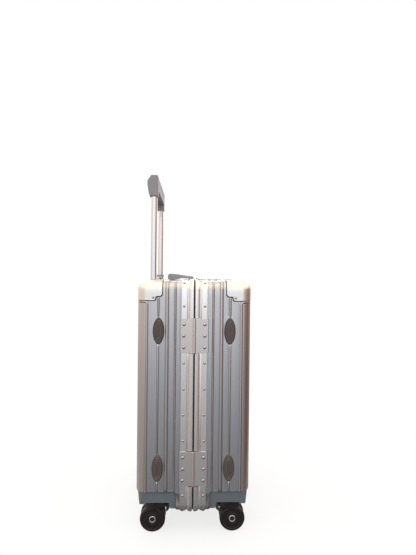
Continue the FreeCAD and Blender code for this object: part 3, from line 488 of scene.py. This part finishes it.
cap_metal = anodised("cap_metal", rgb(0.76, 0.74, 0.72), rgb(0.84, 0.82, 0.80), 0.27, (500, 500, 500),
                     0.00001, 0.6)
for corner, (sx, sy) in CORNERS.items():
    body = "case" if sy > 0 else "lid"
    cap = assemble(corner_lobe(CAP_FACE, 0.0, sx, sy), f"cap_{corner}", cap_metal, "cap", body,
                   f"corner_cap_{corner}", sharp=50)
    thicken(cap, 1.5 * MM, 0.5 * MM)
    # A thin black sheet under the cap, a little larger than it: a painted shadow line round the cap's edge.
    shadow_sheet = assemble(corner_lobe(SHADOW_SHEET_FACE, SHADOW_SHEET_MARGIN, sx, sy), f"cap_gasket_{corner}",
                      seal_rubber, "seal", body)
    thicken(shadow_sheet, 0.6 * MM)


# ---- Rivets ------------------------------------------------------------------------------------
# Steel rivets with domed heads, through the strips, the hinge leaves and two lobes of each cap.

def domed_head(radius, height):
    """One rivet head that stands along +Z on the origin: a thin collar under a dome, its lower half given a
    second, dark material as painted shade.
    """
    head = bmesh.new()
    section = [(1, 0), (1, 0.1), (0.93, 0.42), (0.76, 0.7), (0.45, 0.92), (0, 1)]
    verts = [head.verts.new((out * radius, 0, up * height)) for out, up in section]
    edges = [head.edges.new(pair) for pair in zip(verts, verts[1:])]
    bmesh.ops.spin(head, geom=[*verts, *edges], cent=(0, 0, 0), axis=(0, 0, 1), dvec=(0, 0, 0),
                   angle=2 * math.pi, steps=12, use_merge=True, use_duplicate=False)
    bmesh.ops.remove_doubles(head, verts=head.verts, dist=1e-6)
    bmesh.ops.recalc_face_normals(head, faces=head.faces)
    # The lower half of each dome takes the dark second material: painted shade round the rivet's foot.
    for face in head.faces:
        face.material_index = int(face.calc_center_median().z < 0.5 * height)
    return head


def add_copies(target, source, places):
    """Adds source to target once at each place, and returns target."""
    mesh = bpy.data.meshes.new("copied")
    source.to_mesh(mesh)
    source.free()
    for place in places:
        first = len(target.verts)
        target.from_mesh(mesh)
        target.verts.ensure_lookup_table()
        bmesh.ops.transform(target, matrix=place, verts=target.verts[first:])
    bpy.data.meshes.remove(mesh)
    return target


def standing(at, direction):
    """Puts a shape that stands along +Z on a point, along a direction."""
    return Matrix.Translation(at) @ Vector(direction).to_track_quat("Z", "Y").to_matrix().to_4x4()


RIVET_LINE = 22.5 * MM
SIDE_RIVETS = [90, 208, 264, 320, 376, 499]
END_RIVETS = [-140, -84, -28, 28, 84, 140]
UNDERSIDE_REACH = 110
CAP_RIVET_X, CAP_RIVET_Y, CAP_RIVET_LEVEL = 152 * MM, 89 * MM, 517.5 * MM
LEAF_RIVET_STEP = 24.8 * MM
STRIP_HEAD, LEAF_HEAD = (3.1 * MM, 2.2 * MM), (3.8 * MM, 2.5 * MM)
# A dark finish for the rivets' lower halves: painted shade round each rivet's foot.
rivet_foot_shade = moulded("rivet_foot_shade", rgb(0.05, 0.042, 0.036), rgb(0.09, 0.075, 0.065), 0.4)
strip_face = 2 * MM
leaf_face = 3.4 * MM
rivet_steel = anodised("rivet_steel", rgb(0.50, 0.47, 0.45), rgb(0.62, 0.59, 0.57), 0.1,
                       (200, 200, 200), 0.000004, 0.4)
for half, sy, body in (("back", 1, "case"), ("front", -1, "lid")):
    y = sy * RIVET_LINE
    places = []
    for sx in (-1, 1):
        face_x = CASE_CENTRE.x + sx * (CASE_HALF.x + strip_face)
        places += [standing((face_x, y, z * MM), (sx, 0, 0)) for z in SIDE_RIVETS]
        on_side = (CASE_CENTRE.x + sx * (CASE_HALF.x + CAP_FACE), sy * CAP_RIVET_Y, CAP_RIVET_LEVEL)
        places.append(standing(on_side, (sx, 0, 0)))
        on_face = (CASE_CENTRE.x + sx * CAP_RIVET_X, sy * (CASE_HALF.y + CAP_FACE), CAP_RIVET_LEVEL)
        places.append(standing(on_face, (0, sy, 0)))
        for sz in (-1, 1):
            bend = CASE_CENTRE + Vector((sx * flat.x, y, sz * flat.z))
            outward = Vector((sx, 0, sz)).normalized()
            places.append(standing(bend + outward * (EDGE_ROUND + strip_face), outward))
    for x in END_RIVETS:
        places.append(standing((CASE_CENTRE.x + x * MM, y, CASE_HIGH + strip_face), (0, 0, 1)))
        if abs(x) < UNDERSIDE_REACH:
            places.append(standing((CASE_CENTRE.x + x * MM, y, CASE_LOW - strip_face), (0, 0, -1)))
    leaf_x = CASE_CENTRE.x - CASE_HALF.x - leaf_face
    on_leaves = [standing((leaf_x, y, level + step * LEAF_RIVET_STEP), (-1, 0, 0))
                 for level in HINGE_LEVELS for step in (-1, 0, 1)]
    heads = add_copies(bmesh.new(), domed_head(*STRIP_HEAD), places)
    add_copies(heads, domed_head(*LEAF_HEAD), on_leaves)
    domes = assemble(heads, f"domed_rivets_{half}", rivet_steel, "rivet", body, f"rivets_{half}", sharp=60)
    domes.data.materials.append(rivet_foot_shade)


# ---- Hinges ------------------------------------------------------------------------------------
# Butt hinges of aluminium plate round a steel pin: each leaf laps its strip and has one knuckle.

def plate(low, high, corner_axis, corner, edge):
    """A plate between two opposite corners, its upright edges rounded and all its edges broken."""
    blank = bmesh.new()
    low, high = Vector(low), Vector(high)
    bmesh.ops.create_cube(blank, size=1.0, matrix=Matrix.Translation((low + high) / 2)
                          @ Matrix.Diagonal((*(high - low), 1.0)))
    upright = [e for e in blank.edges
               if abs((e.verts[0].co - e.verts[1].co).normalized()[corner_axis]) > 0.9]
    bmesh.ops.bevel(blank, geom=upright, offset=corner, affect="EDGES", segments=5, profile=0.5, material=-1)
    rims = [e for e in blank.edges if e.calc_face_angle(0) > 0.8]
    bmesh.ops.bevel(blank, geom=rims, offset=edge, affect="EDGES", segments=2, profile=0.5, material=-1)
    return blank


def bar(start, direction, length, radius, steps=32):
    """A round bar from a point along a direction, its two rims broken."""
    rod = bmesh.new()
    bmesh.ops.create_cone(rod, cap_ends=True, segments=steps, radius1=radius, radius2=radius, depth=length,
                          matrix=standing(Vector(start) + Vector(direction) * length / 2, direction))
    rims = [e for e in rod.edges if e.calc_face_angle(0) > 1.2]
    bmesh.ops.bevel(rod, geom=rims, offset=0.15 * radius, affect="EDGES", segments=2, profile=0.5,
                    material=-1)
    return rod


def join(*shapes):
    """Several closed shapes as one bmesh."""
    whole = bmesh.new()
    for shape in shapes:
        add_copies(whole, shape, [Matrix()])
    return whole


LEAF_HALF, LEAF_GAUGE, LEAF_SPAN = 37 * MM, 1.4 * MM, (1.2 * MM, 30 * MM)
KNUCKLE_GAP, KNUCKLE_LENGTH, KNUCKLE_RADIUS = 0.3 * MM, 36.8 * MM, 3.5 * MM
PIN_END, PIN_HEAD = 37.2 * MM, (0.8 * MM, 1.6 * MM)
hinge_metal = anodised("hinge_metal", rgb(0.64, 0.61, 0.60), rgb(0.72, 0.69, 0.68), 0.34,
                       depth=0.00001, drift=0.6)
pin_x = CASE_CENTRE.x - CASE_HALF.x - 4 * MM
for half, sy, body in (("back", 1, "case"), ("front", -1, "lid")):
    parts = []
    for level in HINGE_LEVELS:
        near, far = sorted(sy * edge for edge in LEAF_SPAN)
        parts.append(plate((leaf_x, near, level - LEAF_HALF), (leaf_x + LEAF_GAUGE, far, level + LEAF_HALF),
                           0, 2.6 * MM, 0.35 * MM))
        start = (pin_x, 0, level + sy * KNUCKLE_GAP)
        parts.append(bar(start, (0, 0, sy), KNUCKLE_LENGTH, KNUCKLE_RADIUS))
    assemble(join(*parts), f"hinge_{half}", hinge_metal, "hinge", body, f"hinge_leaves_{half}", sharp=14)
pin_heads = [bar((pin_x, 0, level + end * PIN_END), (0, 0, end), *PIN_HEAD)
             for level in HINGE_LEVELS for end in (-1, 1)]
assemble(join(*pin_heads), "hinge_pin_ends", rivet_steel, "rivet", "case", "hinge_pins")


# ---- Side feet ---------------------------------------------------------------------------------
# Oval feet of dark plastic that the case lies on, stepped in rings with pointed ends; two ring ridges are
# painted lighter as a highlight.

FOOT_HALF_WIDTH, FOOT_HALF_HEIGHT, FOOT_Y = 12.5 * MM, 29 * MM, 77 * MM
HIGHLIT_STEP = 0.6
FOOT_STEPS = [(2.4, 0), (1.3, 0.9), (0.6, 1.2), (-0.7, 0.9), (0.8, 0.8), (0.2, HIGHLIT_STEP), (-0.8, 0.8),
              (0, 1.5), (0.8, 0.7), (0.2, HIGHLIT_STEP), (-0.9, 0.8), (0.1, 1.2)]


def oval_foot(at_y, level):
    """A foot that stands out along -X: rings of one oval, each raised and drawn in from the last."""
    foot = bmesh.new()
    turn = Matrix.Rotation(-math.pi / 2, 4, "Y")
    bmesh.ops.create_circle(foot, cap_ends=True, radius=1.0, segments=40, matrix=turn)
    for vert in foot.verts:
        along = vert.co.z
        vert.co.y *= FOOT_HALF_WIDTH * (1 - 0.16 * along ** 4)
        vert.co.z *= FOOT_HALF_HEIGHT
    face = foot.faces[:]
    for out, inwards in FOOT_STEPS:
        grown = bmesh.ops.extrude_face_region(foot, geom=face)["geom"]
        bmesh.ops.delete(foot, geom=face, context="FACES_ONLY")
        face = [g for g in grown if isinstance(g, bmesh.types.BMFace)]
        verts = [g for g in grown if isinstance(g, bmesh.types.BMVert)]
        widest = max(abs(v.co.y) for v in verts)
        tallest = max(abs(v.co.z) for v in verts)
        shrink = Vector((1, 1 - inwards * MM / widest, 1 - 1.5 * inwards * MM / tallest))
        bmesh.ops.scale(foot, vec=shrink, verts=verts)
        bmesh.ops.translate(foot, vec=(-out * MM, 0, 0), verts=verts)
        # The faces of this ring's ridge take the lighter second material: a painted highlight.
        if inwards == HIGHLIT_STEP:
            for ridge_face in {f for v in verts for f in v.link_faces if f not in face}:
                ridge_face.material_index = 1
    bmesh.ops.translate(foot, vec=(CASE_CENTRE.x - CASE_HALF.x, at_y, level), verts=foot.verts)
    bmesh.ops.recalc_face_normals(foot, faces=foot.faces)
    return foot


foot_plastic = moulded("foot_plastic", rgb(0.055, 0.050, 0.046), rgb(0.095, 0.086, 0.080), 0.3)
# A lighter plastic for two ring ridges: painted highlight.
foot_ring_highlight = moulded("foot_ring_highlight", rgb(0.20, 0.18, 0.165), rgb(0.27, 0.245, 0.225), 0.35)
for half, sy, body in (("back", 1, "case"), ("front", -1, "lid")):
    pair = join(*[oval_foot(sy * FOOT_Y, level) for level in FOOT_LEVELS])
    feet = assemble(pair, f"oval_feet_{half}", foot_plastic, "foot", body, f"side_feet_{half}", sharp=25)
    feet.data.materials.append(foot_ring_highlight)


# ---- Caster housings ---------------------------------------------------------------------------
# Moulded blue-grey corner blocks with a round well for the wheels and an arch in both outer walls.

housing_plastic = moulded("housing_plastic", rgb(0.115, 0.150, 0.182), rgb(0.150, 0.186, 0.220), 0.40)
dress(housing_plastic, *[f"caster_housing_{corner}" for corner in CORNERS])


# ---- Casters -----------------------------------------------------------------------------------
# Glossy black forks on steel pins, each with twin polyurethane wheels on a bright tubular axle.

def lathe(section, centre, sign, steps=48):
    """Turns a closed section, as (along, radius) in mm, about an X axis through a centre."""
    blank = bmesh.new()
    verts = [blank.verts.new((sign * along * MM, 0, radius * MM)) for along, radius in section]
    edges = [blank.edges.new((verts[i - 1], verts[i])) for i in range(len(verts))]
    bmesh.ops.spin(blank, geom=[*verts, *edges], cent=(0, 0, 0), axis=(1, 0, 0), dvec=(0, 0, 0),
                   angle=2 * math.pi, steps=steps, use_merge=True, use_duplicate=False)
    bmesh.ops.remove_doubles(blank, verts=blank.verts, dist=1e-6)
    bmesh.ops.recalc_face_normals(blank, faces=blank.faces)
    bmesh.ops.translate(blank, vec=centre, verts=blank.verts)
    return blank


fork_plastic = moulded("fork_plastic", rgb(0.004, 0.004, 0.004), rgb(0.010, 0.010, 0.010), 0.18)
tyre_rubber = moulded("tyre_rubber", rgb(0.006, 0.005, 0.005), rgb(0.013, 0.011, 0.010), 0.38, gloss=0.35)
axle_steel = anodised("axle_steel", rgb(0.62, 0.62, 0.62), rgb(0.78, 0.78, 0.78), 0.22, (200, 200, 200))
WHEEL_SECTION = [
    (0, 3.1), (0, 23.4), (0.3, 24.6), (1.0, 26), (2.2, 27.2), (3.8, 27.9), (5.5, 28), (8, 28), (9.7, 27.9),
    (11.3, 27.2), (12.5, 26), (13.2, 24.6), (13.5, 23.4), (13.5, 21.6), (13.1, 21.1), (12.6, 20.6),
    (12.5, 12.6), (12.7, 11.9), (13.3, 11.4), (13.3, 9.6), (12.9, 9.1), (11.2, 8.6), (11.1, 3.1),
]
AXLE_SECTION = [(15.2, 4.4), (15.2, 7.0), (15.9, 7.4), (17.2, 7.3), (17.7, 6.6), (17.5, 5.2), (16.4, 4.5)]
HUB_X, HUB_Y, HUB_LEVEL = 151 * MM, 88 * MM, 28 * MM
WHEEL_GAP, AXLE_REACH, AXLE_RADIUS = 4.9 * MM, 16.4 * MM, 2.9 * MM
BORE_START, BORE_LENGTH, BORE_RADIUS = 14.6 * MM, 1.9 * MM, 4.6 * MM
for corner, (sx, sy) in CORNERS.items():
    hub = Vector((CASE_CENTRE.x + sx * HUB_X, sy * HUB_Y, HUB_LEVEL))
    for which, sign in (("outer", sx), ("inner", -sx)):
        wheel = lathe(WHEEL_SECTION, hub + Vector((sign * WHEEL_GAP, 0, 0)), sign)
        assemble(wheel, f"{which}_tyre_{corner}", tyre_rubber, "wheel", f"{which}_wheel_{corner}",
                 f"{which}_wheel_{corner}", sharp=40)
    rings = [lathe(AXLE_SECTION, hub, sign, 32) for sign in (-1, 1)]
    spindle = bar(hub - Vector((AXLE_REACH, 0, 0)), (1, 0, 0), 2 * AXLE_REACH, AXLE_RADIUS)
    bores = [bar(hub + Vector((sign * BORE_START, 0, 0)), (sign, 0, 0), BORE_LENGTH, BORE_RADIUS)
             for sign in (-1, 1)]
    assemble(join(*rings), f"axle_ends_{corner}", axle_steel, "axle", f"caster_{corner}",
             f"caster_axle_{corner}")
    assemble(join(spindle, *bores), f"axle_core_{corner}", fork_plastic, "fork", f"caster_{corner}")
    dress(fork_plastic, f"caster_fork_{corner}")
dress(axle_steel, "swivel_pins_back", "swivel_pins_front")


# ---- Trolley -----------------------------------------------------------------------------------
# Bright anodised oblong tubes, one in another, with a moulded grip, release button and top bezel.

tube_metal = anodised("tube_metal", rgb(0.66, 0.66, 0.665), rgb(0.72, 0.72, 0.725), 0.2,
                      (600, 600, 8), 0.000004, 0.5)
dress(tube_metal, "trolley_outer_tubes", "trolley_inner_tubes", "trolley_middle_tube_near",
      "trolley_middle_tube_far")
grip_plastic = moulded("grip_plastic", rgb(0.235, 0.245, 0.30), rgb(0.30, 0.31, 0.365), 0.4)
collar_plastic = moulded("collar_plastic", rgb(0.03, 0.03, 0.033), rgb(0.05, 0.05, 0.054), 0.38)
dress(grip_plastic, "trolley_grip", "trolley_bezel")
collar_grey = moulded("collar_grey", rgb(0.24, 0.24, 0.245), rgb(0.32, 0.32, 0.325), 0.35)
dress(collar_grey, "trolley_collar_near", "trolley_collar_far")
dress(collar_plastic, "trolley_button")
SPRING_BUTTON = Vector((CASE_CENTRE.x + 94.8 * MM, 96 * MM, 556.2 * MM))
catch = bar(SPRING_BUTTON, (-1, 0, 0), 1.5 * MM, 3.2 * MM)
assemble(catch, "spring_button_far", seal_rubber, "button", "middle_far")


# ---- Carry handles -----------------------------------------------------------------------------
# Moulded bails that fold flat, turning in two mounts each.

handle_plastic = moulded("handle_plastic", rgb(0.235, 0.25, 0.305), rgb(0.31, 0.325, 0.385), 0.38)
dress(handle_plastic, "top_handle", "side_handle", "top_handle_mounts", "side_handle_mounts")


# ---- Latches and plate -------------------------------------------------------------------------
# Satin chromed steel hasps over their catches, and a blank plate on the front half's top.

latch_chrome = anodised("latch_chrome", rgb(0.60, 0.60, 0.60), rgb(0.72, 0.72, 0.72), 0.18)
dress(latch_chrome, "latch_bases", "upper_latch_hasp", "lower_latch_hasp", "latch_catches", "name_plate")


# ---- Linings and straps ------------------------------------------------------------------------
# Grey woven cloth pulled over each half's inside and round its wheel boxes, gathered a little at
# the mouth. Black webbing straps lie across the back half's floor, with a buckle in the middle.

LINING_HALF, LINING_LOW, LINING_HIGH = 179 * MM, 57 * MM, 547 * MM
BOX_SIDE, BOX_TOP, MOUTH = 107.5 * MM, 98.4 * MM, 29.5 * MM
TRAY_CORNER, TRAY_CELL, GATHER_REACH = 12 * MM, 8 * MM, 40 * MM
CLOTH, PANEL_BACK, PANEL_FRONT = 0.8 * MM, 33.4 * MM, 34.4 * MM


def woven(name, dark, light, threads, depth):
    """Plain-woven cloth: crossed threads over a soft unevenness of tone, with a little sheen."""
    finish = Finish(bpy.data.materials.new(name), Sheen_Weight=0.25, Specular_IOR_Level=0.3)
    across, along, over = [finish.node("ShaderNodeTexWave", {"bands_direction": way},
                                       {"Vector": finish.place, "Scale": threads}) for way in "XZY"]
    threads_up = (across * along + over * 0.5) * 0.66
    uneven = finish.noise(9.0, 4.0)
    finish.feed(Base_Color=finish.blend(threads_up * 0.6 + uneven * 0.4, dark, light),
                Roughness=threads_up * 0.15 + uneven * 0.1 + 0.7)
    finish.raise_by(threads_up + uneven * 0.4, depth)
    return finish.owner


def cloth_tray(floor_y, turn):
    """A tray of cloth, open at the mouth, that goes in round both wheel boxes."""
    tray = bmesh.new()
    outline = [(-BOX_SIDE, LINING_LOW), (BOX_SIDE, LINING_LOW), (BOX_SIDE, BOX_TOP), (LINING_HALF, BOX_TOP),
               (LINING_HALF, LINING_HIGH), (-LINING_HALF, LINING_HIGH), (-LINING_HALF, BOX_TOP),
               (-BOX_SIDE, BOX_TOP)]
    tray.faces.new([tray.verts.new((CASE_CENTRE.x + x, floor_y, z)) for x, z in outline])
    bmesh.ops.bevel(tray, geom=tray.verts[:], offset=TRAY_CORNER, affect="VERTICES", segments=5,
                    profile=0.5, material=-1)
    rim = tray.edges[:]
    grown = bmesh.ops.extrude_edge_only(tray, edges=rim)["geom"]
    mouth = [g for g in grown if isinstance(g, bmesh.types.BMVert)]
    bmesh.ops.translate(tray, verts=mouth, vec=(0, MOUTH - floor_y, 0))
    folded = [e for e in tray.edges if e.calc_face_angle(0) > 1.2
              and all(abs(vert.co.y - floor_y) < 1e-6 for vert in e.verts)]
    bmesh.ops.bevel(tray, geom=folded, offset=turn, affect="EDGES", segments=4, profile=0.5, material=-1)
    for axis, low, high in ((0, CASE_CENTRE.x - LINING_HALF, CASE_CENTRE.x + LINING_HALF),
                            (1, MOUTH, floor_y), (2, LINING_LOW, LINING_HIGH)):
        count = round((high - low) / TRAY_CELL)
        for i in range(1, count):
            slice_at(tray, axis, low + (high - low) * i / count)
    bmesh.ops.recalc_face_normals(tray, faces=tray.faces)
    tray.normal_update()
    for vert in tray.verts:
        x, y, z = vert.co / MM
        near_mouth = 1 - ramp(vert.co.y, MOUTH, MOUTH + GATHER_REACH)
        gather = 0.8 * near_mouth * math.sin(0.26 * x + 0.31 * z)
        slack = 0.5 * math.sin(0.031 * x + 0.6) * math.sin(0.027 * z) + 0.3 * math.sin(0.06 * (x + z))
        vert.co += vert.normal * (gather + slack) * MM
    return tray


lining_cloth = woven("lining_cloth", rgb(0.055, 0.057, 0.065), rgb(0.105, 0.108, 0.12), 420.0, 0.0002)
for half, sy, body, floor_y, turn in (("back", 1, "case", 81.4 * MM, 4 * MM),
                                      ("front", -1, "lid", 115.4 * MM, 12 * MM)):
    tray = cloth_tray(floor_y, turn)
    if sy < 0:
        bmesh.ops.scale(tray, vec=(1, -1, 1), verts=tray.verts)
        bmesh.ops.reverse_faces(tray, faces=tray.faces)
    cut_area = sum(face.calc_area() for face in tray.faces)
    panels = bmesh.new()
    for sx in (-1, 1):
        near, far = sorted(CASE_CENTRE.x + sx * edge for edge in (BOX_SIDE, LINING_HALF))
        panel = plate((near, PANEL_BACK, LINING_LOW), (far, PANEL_FRONT, BOX_TOP), 1, 3 * MM, 0.2 * MM)
        add_copies(panels, panel, [Matrix.Diagonal((1, sy, 1, 1))])
    bmesh.ops.recalc_face_normals(panels, faces=panels.faces)
    lining = assemble(tray, f"cloth_lining_{half}", lining_cloth, "lining", body, f"lining_{half}", sharp=50)
    box_cloth = assemble(panels, f"wheel_box_cloth_{half}", lining_cloth, "lining", body, sharp=14)
    thicken(lining, CLOTH)

webbing = woven("webbing", rgb(0.010, 0.010, 0.012), rgb(0.028, 0.028, 0.031), 700.0, 0.0003)
buckle_plastic = moulded("buckle_plastic", rgb(0.010, 0.010, 0.011), rgb(0.022, 0.022, 0.024), 0.35)
STRAPS = {"left": ((-82, -58), (79.0, 80.4), (100, 500)), "right": ((58, 82), (79.0, 80.4), (100, 500)),
          "cross": ((-86, 86), (77.3, 78.7), (288, 312))}
for name, spans in STRAPS.items():
    low, high = [Vector([span[end] * MM for span in spans]) + Vector((CASE_CENTRE.x, 0, 0)) for end in (0, 1)]
    strap = assemble(plate(low, high, 1, 1.5 * MM, 0.3 * MM), f"strap_{name}", webbing, "strap", "case",
                     *(["packing_straps"] if name == "cross" else []), sharp=14)
middle_x = CASE_CENTRE.x
BUCKLE_PLATES = [((-22, 75.2, 285), (22, 77.2, 315), 5, 0.8), ((-12, 73.6, 291), (16, 75.6, 309), 4, 0.8)]
BUCKLE_PLATES += [((x - 15, 78.2, z - 7), (x + 15, 80.6, z + 7), 2, 0.6)
                  for x in (-70, 70) for z in (104, 496)]
buckle = []
for low, high, corner_round, edge in BUCKLE_PLATES:
    ends = [Vector(end) * MM + Vector((middle_x, 0, 0)) for end in (low, high)]
    buckle.append(plate(*ends, 1, corner_round * MM, edge * MM))
assemble(join(*buckle), "strap_buckle", buckle_plastic, "strap", "case", sharp=14)


# ---- Floor, light and camera -------------------------------------------------------------------
# A pale floor that fades into a white surround, and soft light from a warm ceiling with darker,
# browner walls to the left and right. The camera stands at about the height of the case's top.

floor_mesh = bmesh.new()
bmesh.ops.create_grid(floor_mesh, x_segments=1, y_segments=1, size=1.6)
floor_data = bpy.data.meshes.new("floor")
floor_mesh.to_mesh(floor_data)
floor_mesh.free()
floor = bpy.data.objects.new("floor", floor_data)
bpy.context.scene.collection.objects.link(floor)
floor_paint = Finish(bpy.data.materials.new("floor_paint"), Roughness=0.7)
floor_tone = floor_paint.noise(3.0, 2.0)
spread_out = floor_paint.node("ShaderNodeMapping", {"vector_type": "TEXTURE"}, {
    "Vector": floor_paint.place, "Location": (0.1, 0, 0), "Scale": (0.44, 0.6, 1.0)})
spot = floor_paint.node("ShaderNodeTexGradient", {"gradient_type": "SPHERICAL"},
                        {"Vector": spread_out}, out=1)
floor_paint.feed(Base_Color=floor_paint.blend(floor_tone, rgb(0.80, 0.88, 0.97), rgb(0.82, 0.90, 0.99)),
                 Alpha=floor_paint.spread(spot, 0.0, 0.5) * 0.24)
floor_data.materials.append(floor_paint.owner)

sky = Finish(bpy.data.worlds.new("surround"), "Background", "Generated")
bpy.context.scene.world = sky.owner
side, height = [sky.node("ShaderNodeSeparateXYZ", None, {"Vector": sky.place}, out=axis) for axis in "YZ"]
left = sky.spread(side, 0.3, 0.6)
right = sky.spread(side * -1, 0.3, 0.6)
right_tone = sky.blend(sky.spread(side * -1, 0.72, 0.95), rgb(0.44, 0.36, 0.34), rgb(0.34, 0.17, 0.13))
walls = sky.blend(right, sky.blend(left, rgb(0.96, 0.985, 1.03), rgb(0.78, 0.66, 0.56)), right_tone)
tone = sky.blend(sky.spread(height, 0.12, 0.45), walls, rgb(1.06, 0.93, 0.77))
BRIGHTEST = 1.35
growing = sky.node("ShaderNodeMath", {"operation": "EXPONENT"},
                   {0: height * (3.3 - (left + right) * 1.6) + 0.2})
level_light = sky.node("ShaderNodeMath", {"operation": "MINIMUM"}, {0: growing, 1: BRIGHTEST})
seen = sky.node("ShaderNodeLightPath", out="Is Camera Ray")
shade = sky.node("ShaderNodeVectorMath", {"operation": "SCALE"}, {0: tone, "Scale": level_light})
sky.feed(Color=sky.blend(seen, shade, rgb(1.0, 1.0, 1.0)))


def soft_light(name, where, towards, size, power, colour=(1, 1, 1)):
    lamp = bpy.data.lights.new(name, "AREA")
    lamp.shape, lamp.size, lamp.size_y = "RECTANGLE", *size
    lamp.energy, lamp.color = power, colour
    made = bpy.data.objects.new(name, lamp)
    aim = (Vector(towards) - Vector(where)).to_track_quat("-Z", "Y")
    made.matrix_world = Matrix.Translation(where) @ aim.to_matrix().to_4x4()
    bpy.context.scene.collection.objects.link(made)


soft_light("overhead", (-0.9, 0.1, 2.4), (0, 0, 0.3), (1.8, 2.4), 5, (1.0, 0.9, 0.76))
soft_light("rear_bank", (2.0, 0.6, 1.5), (0, 0, 0.35), (1.6, 1.6), 6)

EYE = Vector((-1090.2, 6.1, 564.3)) * MM
YAW, PITCH, ROLL = math.radians(-2.19), math.radians(-0.201), math.radians(0.587)
camera_data = bpy.data.cameras.new("camera")
camera_data.sensor_width = 36.0
camera_data.lens = 417 / 555 * camera_data.sensor_width
ahead = Vector((math.cos(PITCH) * math.cos(YAW), math.cos(PITCH) * math.sin(YAW), math.sin(PITCH)))
across = ahead.cross(Vector((0, 0, 1))).normalized()
upright = across.cross(ahead)
right_hand = across * math.cos(ROLL) + upright * math.sin(ROLL)
upward = upright * math.cos(ROLL) - across * math.sin(ROLL)
stance = Matrix((right_hand, upward, -ahead)).transposed().to_4x4()
camera = bpy.data.objects.new("camera", camera_data)
camera.matrix_world = Matrix.Translation(EYE) @ stance
bpy.context.scene.collection.objects.link(camera)
bpy.context.scene.camera = camera
bpy.context.scene.view_settings.view_transform = "Standard"
